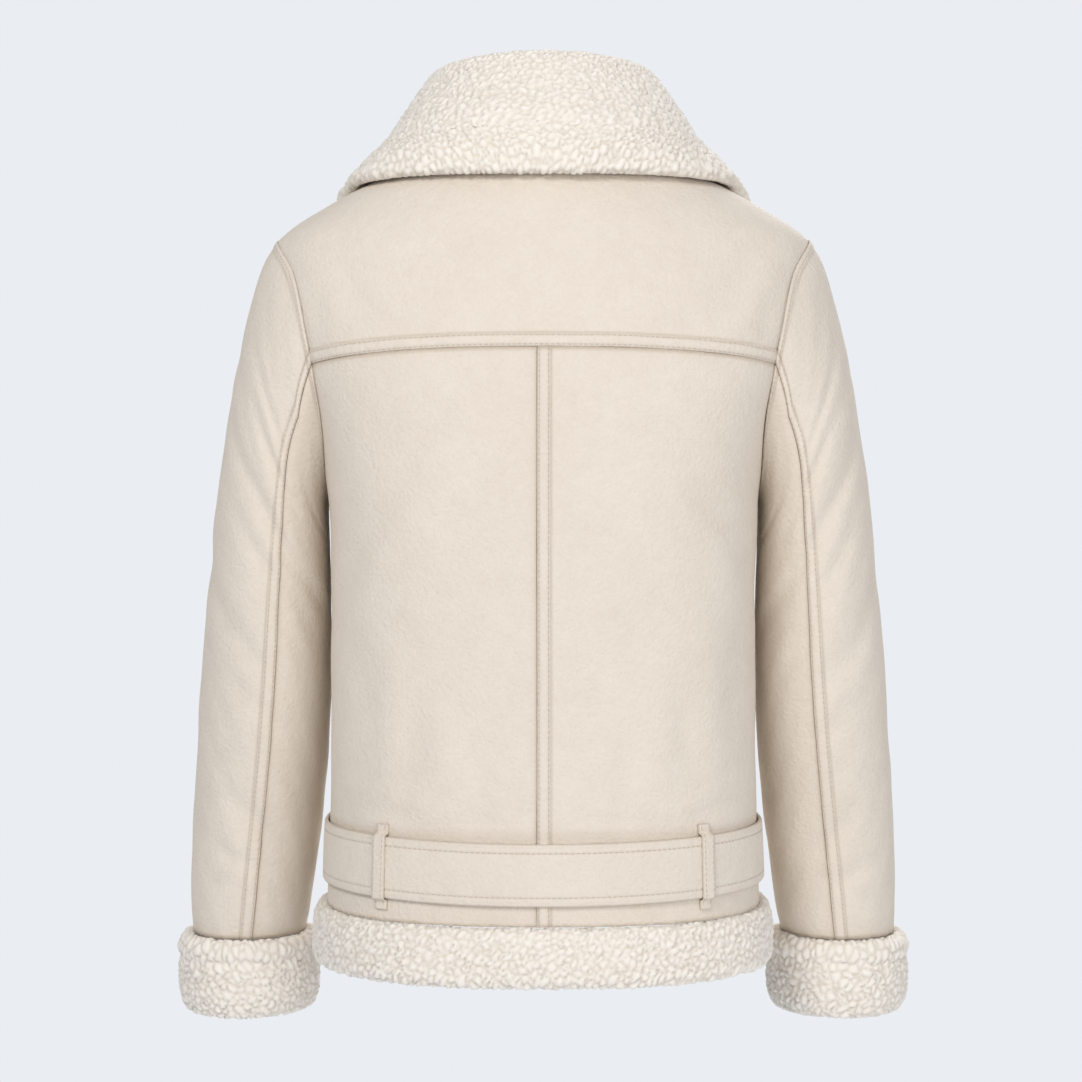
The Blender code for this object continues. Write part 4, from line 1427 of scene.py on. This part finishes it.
@dataclass
class HemBand:
    """The pile band round the hem, open at the zip."""

    trunk: TrunkForm
    finishes: Finishes
    spacing: float = 0.00150
    coarse: float = 0.0024
    half_thick: float = 0.0085
    square: float = 2.9
    length: float = 1.06
    off_body: float = 0.0016
    flat: tuple[float, float] = (1.04, 0.064)

    def build(self) -> bpy.types.Object:
        """Return the finished band."""
        half = (HEM_TOP - HEM_BOTTOM) / 2
        high, out, inside = rounded_section(half, self.half_thick, self.square, self.spacing, self.coarse)
        turn = np.linspace(0, 1, int(self.length / self.spacing))[None, :]
        z = (HEM_TOP + HEM_BOTTOM) / 2 + high[:, None] - 0.0002
        end = self.trunk.zip_angle(z) - self.trunk.zip_half_angle
        start = self.trunk.zip_angle(z) + self.trunk.zip_half_angle - 360
        angle = start + (end - start) * turn
        offset = self.off_body + out[:, None] + 0.0004 * np.sin(turn * 61)
        base = self.trunk.lifted(angle, np.broadcast_to(z, angle.shape), offset)
        body = PileBody("hem_pile", "hem_band", self.finishes, self.flat, CurlPattern(0.0056, 3.0))
        combed = 0.8 * near(high + 0.0205, 0.004) * (1 - inside)
        split = int(np.argmin(high))
        return body.build(base, section_normals(base, False), 1 - 0.35 * inside, combed, False, split)


@dataclass
class PileCuff:
    """A turned-back pile cuff with a fuller roll of locks at its top."""

    sleeve: SleeveForm
    finishes: Finishes
    spacing: float = 0.00150
    coarse: float = 0.0022
    half_thick: float = 0.0090
    square: float = 2.6
    length: float = 0.385
    off_sleeve: float = 0.0014
    drop: float = 0.0004
    lean: float = 0.004
    flat: tuple[float, float] = (0.37, 0.076)

    def build(self) -> bpy.types.Object:
        """Return the finished cuff."""
        word = "left" if self.sleeve.side > 0 else "right"
        half = (CUFF_TOP - CUFF_BOTTOM) / 2
        high, out, inside = rounded_section(half, self.half_thick, self.square, self.spacing, self.coarse)
        count = int(self.length / self.spacing)
        ring, normal = self.sleeve.point(np.ones(count), np.linspace(0, 360, count + 1)[:-1])
        share = (half - high) / (2 * half)
        roll = 0.0016 * near(share - 0.13, 0.10) - 0.0014 * near(share - 0.30, 0.05)
        roll = roll + 0.0006 * near(share - 0.7, 0.2)
        offset = self.off_sleeve + out + roll * (1 - inside) - 0.0012 * share
        base = ring[None, :, :] + normal[None, :, :] * offset[:, None, None]
        base[..., 2] = CUFF_TOP - half + high[:, None] - self.drop
        base[..., 1] -= self.lean * share[:, None]
        pattern = CurlPattern(0.0060, 7.0 + self.sleeve.side)
        body = PileBody(f"cuff_pile_{word}", f"cuff_{word}", self.finishes, self.flat, pattern)
        combed = np.clip(0.9 * near(share - 0.12, 0.13) * (1 - inside), 0, 1)
        return body.build(base, section_normals(base, True), 1 - 0.35 * inside, combed, True)


@dataclass
class PileCollar:
    """The rolled pile collar, or the separate band along its free edge."""

    collar: CollarForm
    finishes: Finishes
    band: bool
    fine: float = 0.00155
    coarse: float = 0.0045
    length: float = 0.66
    band_under: float = 0.006
    free_edge: float = 0.985
    end_round: float = 0.006
    front_radius: float = 0.12

    def section(self, low: float, high: float) -> tuple[Grid, Grid, Grid, int]:
        """Return the section: places on the profile, offsets out and past its ends, and the seen rows."""
        tall = 0.052 if self.band else 0.200
        seen = np.linspace(low, high, int(tall / self.fine))
        hidden = np.linspace(high, low, int(tall / self.coarse))
        cap = np.linspace(0, math.pi, 9)[1:-1]
        share = np.concatenate((seen, np.full(len(cap), high), hidden, np.full(len(cap), low)))
        out = np.concatenate((np.ones(len(seen)), np.cos(cap), -np.ones(len(hidden)), -np.cos(cap)))
        past = np.concatenate((np.zeros(len(seen)), np.sin(cap), np.zeros(len(hidden)), -np.sin(cap)))
        low_reach, high_reach = (0.3, 1.0) if self.band else (0.1, 0.3)
        return share, out, past * np.where(share == low, low_reach, high_reach), len(seen)

    def build(self) -> bpy.types.Object:
        """Return the finished piece."""
        low, high = 0.0, self.collar.band_start
        if self.band:
            low, high = self.collar.band_start - self.band_under, self.free_edge
        share, out, past, seen = self.section(low, high)
        angle = np.linspace(-self.collar.end_angle, self.collar.end_angle, int(self.length / self.fine))
        turn, place = np.broadcast_arrays(angle[None, :], share[:, None])
        middle = self.collar.point(turn, place)
        across = self.collar.point(turn + 1, place) - self.collar.point(turn - 1, place)
        along = unit(self.collar.point(turn, place + 0.01) - self.collar.point(turn, place - 0.01))
        normal = unit(np.cross(along, across))
        normal = normal * np.sign(normal[seen - 2, len(angle) // 2, 1])
        ends = np.radians(self.collar.end_angle - np.abs(angle)) * self.front_radius
        taper = np.sqrt(np.clip(1 - (1 - np.clip(ends / self.end_round, 0, 1)) ** 2, 0.06, 1))
        puff = self.collar.thick / 2 * taper[None, :] * np.where(share == 0, 0.45, 1.0)[:, None]
        base = middle + normal * (out[:, None] * puff)[..., None]
        base = base + along * (past[:, None] * puff * 0.8)[..., None]
        combed = np.zeros(len(share))
        if self.band:
            down = (share - low) / (high - low)
            plump = 0.0012 * near(smooth_step(down) - 0.55, 0.5) * (out > 0)
            base = base + normal * plump[:, None, None]
            combed = np.where(out > -0.5, 0.95 * smooth_step(down * 2.2 - 0.7), 0.0)
        amount = np.where(out > 0, 1.0, 0.35) * np.where(share == low, 0.5, 1.0)
        name, flat, seed = "collar", (0.60, 0.200), 13.0
        if self.band:
            name, flat, seed = "collar_band", (0.86, 0.060), 11.0
        body = PileBody(f"{name}_pile", name, self.finishes, flat, CurlPattern(0.0052, seed))
        return body.build(base, section_normals(base, False), amount, combed, False, seen + 3)


LOOP_ANGLES = {
    "loop_back_left": 47.5,
    "loop_back_right": -47.5,
    "loop_front_left": 118.0,
    "loop_front_right": -118.0,
}
LOOP_END_ROWS = (
    (0.0, 0.0004, 0.0022), (0.0035, 0.0004, 0.0026), (0.0065, 0.0005, 0.0028), (0.0085, 0.0048, 0.0068),
    (0.012, 0.0050, 0.0072),
)


@dataclass
class Belt:
    """The belt: one strap round the waist whose end laps over its start at the buckle, and its carriers."""

    trunk: TrunkForm
    finishes: Finishes
    out: float = 0.0016
    lap_lift: float = 0.0036
    turn: float = 404.0
    lap_start: float = 345.0
    lap_turn: float = 14.0
    tip_turn: float = 8.0
    radius: float = 0.155
    stitch_in: float = 0.0068
    loop_reach: float = 0.009
    loop_half: float = 0.0048
    loop_radius: float = 0.15
    loop_stitch_in: float = 0.0016

    def level(self, angle: Grid, share: Grid) -> Grid:
        """Return heights across the belt, which dips a little at the back."""
        dip = BELT_DIP * np.maximum(0.0, np.cos(np.radians(angle))) ** 2
        return BELT_TOP + (BELT_BOTTOM - BELT_TOP) * share - dip

    def build(self, stitches: StitchWork) -> bpy.types.Object:
        """Return the strap, and add its two rows of stitches."""
        width = BELT_TOP - BELT_BOTTOM
        lines = (0.0, self.stitch_in, width - self.stitch_in, width)
        across = even_places(width, 0.0036, lines, 0.0024, 0.0008)
        past, share = np.meshgrid(np.linspace(0, self.turn, 340), across, indexing="xy")
        angle = BUCKLE_ANGLE + past
        low = self.out + self.lap_lift * smooth_step((past - self.lap_start) / self.lap_turn)
        tip = np.clip((past - self.turn + self.tip_turn) / self.tip_turn, 0, 1)
        z = self.level(angle, 0.5 + (share - 0.5) * (1 - 0.55 * tip ** 2))
        from_edge = np.minimum(share, 1 - share) * width
        rows = near(from_edge - self.stitch_in, 0.0009)
        rise = undulation(np.radians(angle) * self.radius, z, 0.0004, 4.0) + 0.0003 * np.sin(share * math.pi)
        rise = rise - 0.0009 * near(from_edge, 0.0009) - 0.0004 * rows
        rise = rise - 0.00018 * near(from_edge - 0.0025, 0.0006)
        outer = self.trunk.lifted(angle, z, low + LEATHER + rise)
        inner = self.trunk.lifted(angle, z, low)
        # Painted shade: darker at the strap's edges and along its stitch rows.
        shade = 0.45 * near(from_edge, 0.0010) + 0.30 * rows + 0.12 * near(from_edge - 0.0028, 0.0006)
        strap = shell("belt_strap", outer, inner, np.clip(shade, 0, 1), self.finishes, lined=False)
        dress(strap, "belt")
        declare_cloth(outer, "belt")
        for level in (self.stitch_in, width - self.stitch_in):
            stitches.follow(outer, share * width, level, 0)
        return strap

    def loop(self, name: str, angle: float, stitches: StitchWork) -> bpy.types.Object:
        """Return one carrier that the belt passes through, and add its stitches."""
        top = float(self.level(angle, 0.0)) + self.loop_reach
        bottom = float(self.level(angle, 1.0)) - self.loop_reach
        rows = [(top - down, low, high) for down, low, high in LOOP_END_ROWS]
        rows.append(((top + bottom) / 2, 0.0050, 0.0073))
        rows += [(bottom + up, low, high) for up, low, high in reversed(LOOP_END_ROWS)]
        table = np.column_stack((np.linspace(0, 1, len(rows)), rows))
        profile = table_at(table, np.linspace(0, 1, 60))[:, None, :]
        across = np.linspace(-self.loop_half, self.loop_half, 13)[None, :]
        z, low, high, across = np.broadcast_arrays(*np.moveaxis(profile, -1, 0), across)
        at = angle + np.degrees(across / self.loop_radius)
        edge = self.loop_half - np.abs(across)
        outer = self.trunk.lifted(at, z, high - 0.0007 * near(edge, 0.0007))
        inner = self.trunk.lifted(at, z, low)
        # Painted shade: darker at the carrier's edges and at its stitched ends.
        shade = 0.4 * near(edge, 0.0008) + 0.25 * near(z - top, 0.001) + 0.25 * near(z - bottom, 0.001)
        piece = shell(f"{name}_strap", outer, inner, np.clip(shade, 0, 1), self.finishes, lined=False)
        dress(piece, name)
        for level in (self.loop_stitch_in, 2 * self.loop_half - self.loop_stitch_in):
            stitches.follow(outer, across + self.loop_half, level, 1)
        return piece

    def loops(self, stitches: StitchWork) -> list[bpy.types.Object]:
        """Return the four carriers."""
        return [self.loop(name, angle, stitches) for name, angle in LOOP_ANGLES.items()]


@dataclass(frozen=True)
class PlateShape:
    """A plate with rounded corners and edges, or a ring where its bar has a width."""

    half_wide: float
    half_high: float
    corner: float
    low: float
    high: float
    bar: float = 0.0
    soft: float = 0.0006


BUCKLE_RING = PlateShape(0.0235, 0.0330, 0.008, 0.0078, 0.0112, 0.0055, 0.0012)
BUCKLE_PIN = PlateShape(0.0215, 0.0021, 0.0019, 0.0115, 0.0137, soft=0.0007)
SLIDER_BODY = PlateShape(0.0034, 0.0070, 0.0018, 0.0008, 0.0042)
PULL_RING = PlateShape(0.0044, 0.01725, 0.0022, -0.0007, 0.0007, 0.0018, 0.0004)


@dataclass
class Hardware:
    """The belt's buckle and the zip: frame, prong, slider, pull tab, teeth and tape."""

    trunk: TrunkForm
    finishes: Finishes
    slider_drop: float = 0.024
    pin_out: float = 0.0057
    pin_up: float = 0.0030
    tab_hang: float = 0.01625
    tooth_pitch: float = 0.0016
    tooth_aside: float = 0.0008
    tooth_sunk: float = 0.0003
    tape_half: float = 0.0039
    tape_faces: tuple[float, float] = (-0.0012, -0.0028)
    front_radius: float = 0.146

    def frame_at(self, angle: float, height: float) -> Frame:
        """Return the trunk's point there and its across, up and out directions."""
        out = self.trunk.normal(angle, height)
        across = unit(np.cross(out, np.array((0.0, 0.0, 1.0))))
        return self.trunk.point(angle, height), across, np.cross(across, out), out

    def plate(self, name: str, frame: Frame, shape: PlateShape, node: str,
              body: str = "jacket") -> bpy.types.Object:
        """Model a plate or a ring at the origin, seat it in its frame and dress it.

        Args:
            name: the object's name.
            frame: centre, across, up and out.
            shape: its sizes, with its faces' places along the frame's out direction.
            node: the solid that it stands for.
            body: the body that it rides on.

        Returns:
            The finished object, with its place in its mesh.
        """
        bpy.ops.object.select_all(action="DESELECT")
        bpy.ops.mesh.primitive_plane_add(size=2)
        piece = bpy.context.active_object
        piece.name = name
        edit_active((shape.half_wide, shape.half_high, 1.0))
        bpy.ops.mesh.bevel(offset=shape.corner, segments=6, affect="VERTICES")
        if shape.bar:
            bpy.ops.mesh.select_all(action="SELECT")
            bpy.ops.mesh.inset(thickness=shape.bar)
            bpy.ops.mesh.delete(type="ONLY_FACE")
            bpy.ops.mesh.select_all(action="SELECT")
        bpy.ops.mesh.extrude_region_move(TRANSFORM_OT_translate={"value": (0, 0, shape.high - shape.low)})
        bpy.ops.mesh.select_all(action="SELECT")
        bpy.ops.mesh.normals_make_consistent(inside=False)
        bpy.ops.object.mode_set(mode="OBJECT")
        bpy.ops.object.modifier_add(type="BEVEL")
        piece.modifiers[-1].width = shape.soft
        piece.modifiers[-1].segments = 3
        bpy.ops.object.modifier_apply(modifier=piece.modifiers[-1].name)
        centre, across, up, out = frame
        points = np.array([v.co for v in piece.data.vertices])
        points = centre + points[:, :1] * across + points[:, 1:2] * up + (points[:, 2:] + shape.low) * out
        piece.data.vertices.foreach_set("co", points.ravel())
        if np.dot(np.cross(across, up), out) < 0:
            piece.data.flip_normals()
        piece.data.materials.append(self.finishes.nickel)
        piece.select_set(True)
        bpy.ops.object.shade_smooth_by_angle(angle=math.radians(35))
        piece.data.update()
        return dress(piece, node, body)

    def buckle(self) -> list[bpy.types.Object]:
        """Return the buckle's frame and its prong."""
        frame = self.frame_at(BUCKLE_ANGLE, (BELT_TOP + BELT_BOTTOM) / 2)
        return [self.plate("buckle_ring", frame, BUCKLE_RING, "buckle_frame"),
                self.plate("buckle_pin", frame, BUCKLE_PIN, "buckle_prong")]

    def slider(self) -> list[bpy.types.Object]:
        """Return the zip's slider and the pull tab that hangs on it."""
        z = -NECK_DROP - self.slider_drop
        frame = self.frame_at(float(self.trunk.zip_angle(z)), z)
        centre, across, up, out = frame
        body = self.plate("slider_body", frame, SLIDER_BODY, "zip_slider")
        middle = centre + out * self.pin_out + up * (self.pin_up - self.tab_hang)
        tab = self.plate("pull_ring", (middle, across, up, out), PULL_RING, "pull_tab", "pull")
        points = np.array([v.co for v in tab.data.vertices])
        share = ((points - middle) @ up) / PULL_RING.half_high
        aside = (points - middle) @ across
        points += (aside * np.interp(share, (-1, 0.2, 1), (0.04, -0.10, -0.22)))[:, None] * across
        tab.data.vertices.foreach_set("co", points.ravel())
        return [body, tab]

    def tooth(self) -> tuple[Grid, Faces]:
        """Return one zip tooth's points and faces, modelled from a block."""
        bpy.ops.object.select_all(action="DESELECT")
        bpy.ops.mesh.primitive_cube_add(size=1)
        edit_active((0.0026, 0.0012, 0.0011))
        bpy.ops.mesh.bevel(offset=0.0002, segments=1, affect="EDGES")
        return taken_shape()

    def teeth(self) -> bpy.types.Object:
        """Return the two rows of teeth along the zip's line."""
        places = []
        for k, z in enumerate(np.arange(ZIP_BOTTOM + 0.0005, -NECK_DROP - 0.023, self.tooth_pitch)):
            centre, across, up, out = self.frame_at(float(self.trunk.zip_angle(z)), z)
            aside = self.tooth_aside if k % 2 else -self.tooth_aside
            places.append((centre + across * aside - out * self.tooth_sunk, across, up, out))
        row = repeated("zip_teeth", *self.tooth(), places, self.finishes.nickel)
        return dress(row, "zip_chain")

    def tape(self) -> bpy.types.Object:
        """Return the zip's woven tape."""
        turn = np.degrees(np.linspace(-self.tape_half, self.tape_half, 13) / self.front_radius)
        turn, z = np.meshgrid(turn, np.linspace(ZIP_TOP, ZIP_BOTTOM, 200), indexing="xy")
        angle = self.trunk.zip_angle(z) + turn
        outer, inner = (self.trunk.lifted(angle, z, np.full(z.shape, out)) for out in self.tape_faces)
        strip = shell("zip_tape_strip", outer, inner, np.zeros(z.shape), self.finishes, lined=False)
        strip.data.materials.clear()
        strip.data.materials.append(self.finishes.tape)
        return dress(strip, "zip_tape")


LIGHTS = (
    ("key", (1.0, 2.2, 1.1), 0.9, 29.0),
    ("fill", (-1.1, 2.1, -0.3), 1.4, 18.0),
    ("key_front", (-0.8, -2.2, 1.1), 1.2, 40.0),
    ("fill_side", (0.0, -2.0, -0.4), 1.6, 12.0),
)


@dataclass
class Studio:
    """A pale floor, soft light all round and the photograph's camera."""

    distance: float = 1.8
    level: float = -0.3206
    lens: float = 73.05
    sideways: float = 0.0019
    ambient: float = 0.63
    pale: tuple[float, float, float] = (0.823, 0.847, 0.888)
    floor_level: float = -1.35
    floor_rings: tuple[float, ...] = (0.4, 0.8, 1.2, 1.6)
    floor_sides: int = 96

    def camera(self) -> None:
        """Add the camera, which looks at the jacket's back."""
        data = bpy.data.cameras.new("camera")
        data.lens = self.lens
        data.sensor_width = 36.0
        eye = bpy.data.objects.new("camera", data)
        eye.location = (self.sideways, self.distance, self.level)
        eye.rotation_euler = (math.radians(90), 0.0, math.radians(180))
        bpy.context.collection.objects.link(eye)
        bpy.context.scene.camera = eye

    def light(self, name: str, place: tuple[float, float, float], size: float, power: float) -> None:
        """Add one soft square light that faces the jacket."""
        data = bpy.data.lights.new(name, "AREA")
        data.size = size
        data.energy = power
        lamp = bpy.data.objects.new(name, data)
        lamp.location = place
        aim = Vector((0.0, 0.0, self.level)) - Vector(place)
        lamp.rotation_euler = aim.to_track_quat("-Z", "Y").to_euler()
        bpy.context.collection.objects.link(lamp)

    def floor(self) -> None:
        """Add the floor, which fades into the backdrop."""
        count = self.floor_sides
        turn = np.linspace(0, 2 * math.pi, count + 1)[:-1]
        points = [(0.0, 0.0, self.floor_level)]
        for r in self.floor_rings:
            points += [(r * math.cos(t), r * math.sin(t), self.floor_level) for t in turn]
        faces = [(0, 1 + i, 1 + (i + 1) % count) for i in range(count)]
        for a in range(1, 1 + count * (len(self.floor_rings) - 1), count):
            b = a + count
            faces += [(a + i, b + i, b + (i + 1) % count, a + (i + 1) % count) for i in range(count)]
        shader = Shader("floor")
        size = 0.66
        spot = shader.node("ShaderNodeMapping", Vector=shader.place(), Scale=(size, size, size),
                           Location=(0, 0, -size * self.floor_level))
        glow = shader.node("ShaderNodeTexGradient", {"gradient_type": "SPHERICAL"}, Vector=spot, out=1)
        shader.feed(Base_Color=self.pale, Roughness=0.9, Alpha=(glow * 2.2).clipped())
        disc = link_mesh("floor", np.array(points), faces, (shader.material,))

    def build(self) -> None:
        """Add the camera, the world, the lights and the floor."""
        self.camera()
        world = bpy.data.worlds.new("studio")
        world.use_nodes = True
        tree = world.node_tree
        glow = tree.nodes["Background"]
        seen = tree.nodes.new("ShaderNodeBackground")
        plug(tree, glow.inputs["Color"], self.pale)
        plug(tree, seen.inputs["Color"], self.pale)
        plug(tree, glow.inputs["Strength"], self.ambient)
        mix = tree.nodes.new("ShaderNodeMixShader")
        ray = tree.nodes.new("ShaderNodeLightPath")
        for slot, out in zip(mix.inputs, (ray.outputs["Is Camera Ray"], glow.outputs[0], seen.outputs[0])):
            tree.links.new(out, slot)
        tree.links.new(mix.outputs[0], tree.nodes["World Output"].inputs["Surface"])
        bpy.context.scene.world = world
        for light in LIGHTS:
            self.light(*light)
        bpy.context.scene.view_settings.view_transform = "Standard"
        self.floor()


@dataclass
class Jacket:
    """The whole jacket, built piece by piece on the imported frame."""

    finishes: Finishes
    trunk: TrunkForm = field(default_factory=TrunkForm)

    def build(self) -> list[bpy.types.Object]:
        """Build and dress every piece, and return them."""
        made = []
        stitches = StitchWork(self.finishes)
        for place in PanelPlace:
            made.append(TrunkPanel(place, self.trunk, self.finishes).build(stitches))
        for side in (1, -1):
            sleeve = SleeveForm(self.trunk, side)
            for under in (False, True):
                made.append(SleevePanel(sleeve, self.finishes, under).build(stitches))
            made.append(PileCuff(sleeve, self.finishes).build())
        made.append(HemBand(self.trunk, self.finishes).build())
        collar = CollarForm(self.trunk)
        for band in (False, True):
            made.append(PileCollar(collar, self.finishes, band).build())
        belt = Belt(self.trunk, self.finishes)
        made.append(belt.build(stitches))
        made += belt.loops(stitches)
        hardware = Hardware(self.trunk, self.finishes)
        made += hardware.buckle() + hardware.slider() + [hardware.teeth(), hardware.tape()]
        bridge = frame["nodes"]["zip_bridge"]
        for slot in bridge.material_slots:
            slot.material = self.finishes.nickel
        made.append(stitches.build())
        return made


def main() -> None:
    """Build the jacket and its studio, and report each piece."""
    logging.basicConfig(level=logging.INFO, format="%(name)s %(message)s")
    Studio().build()
    for piece in Jacket(Finishes.build()).build():
        LOG.info("%s: %d faces", piece.name, len(piece.data.polygons))


if __name__ == "__main__":
    main()
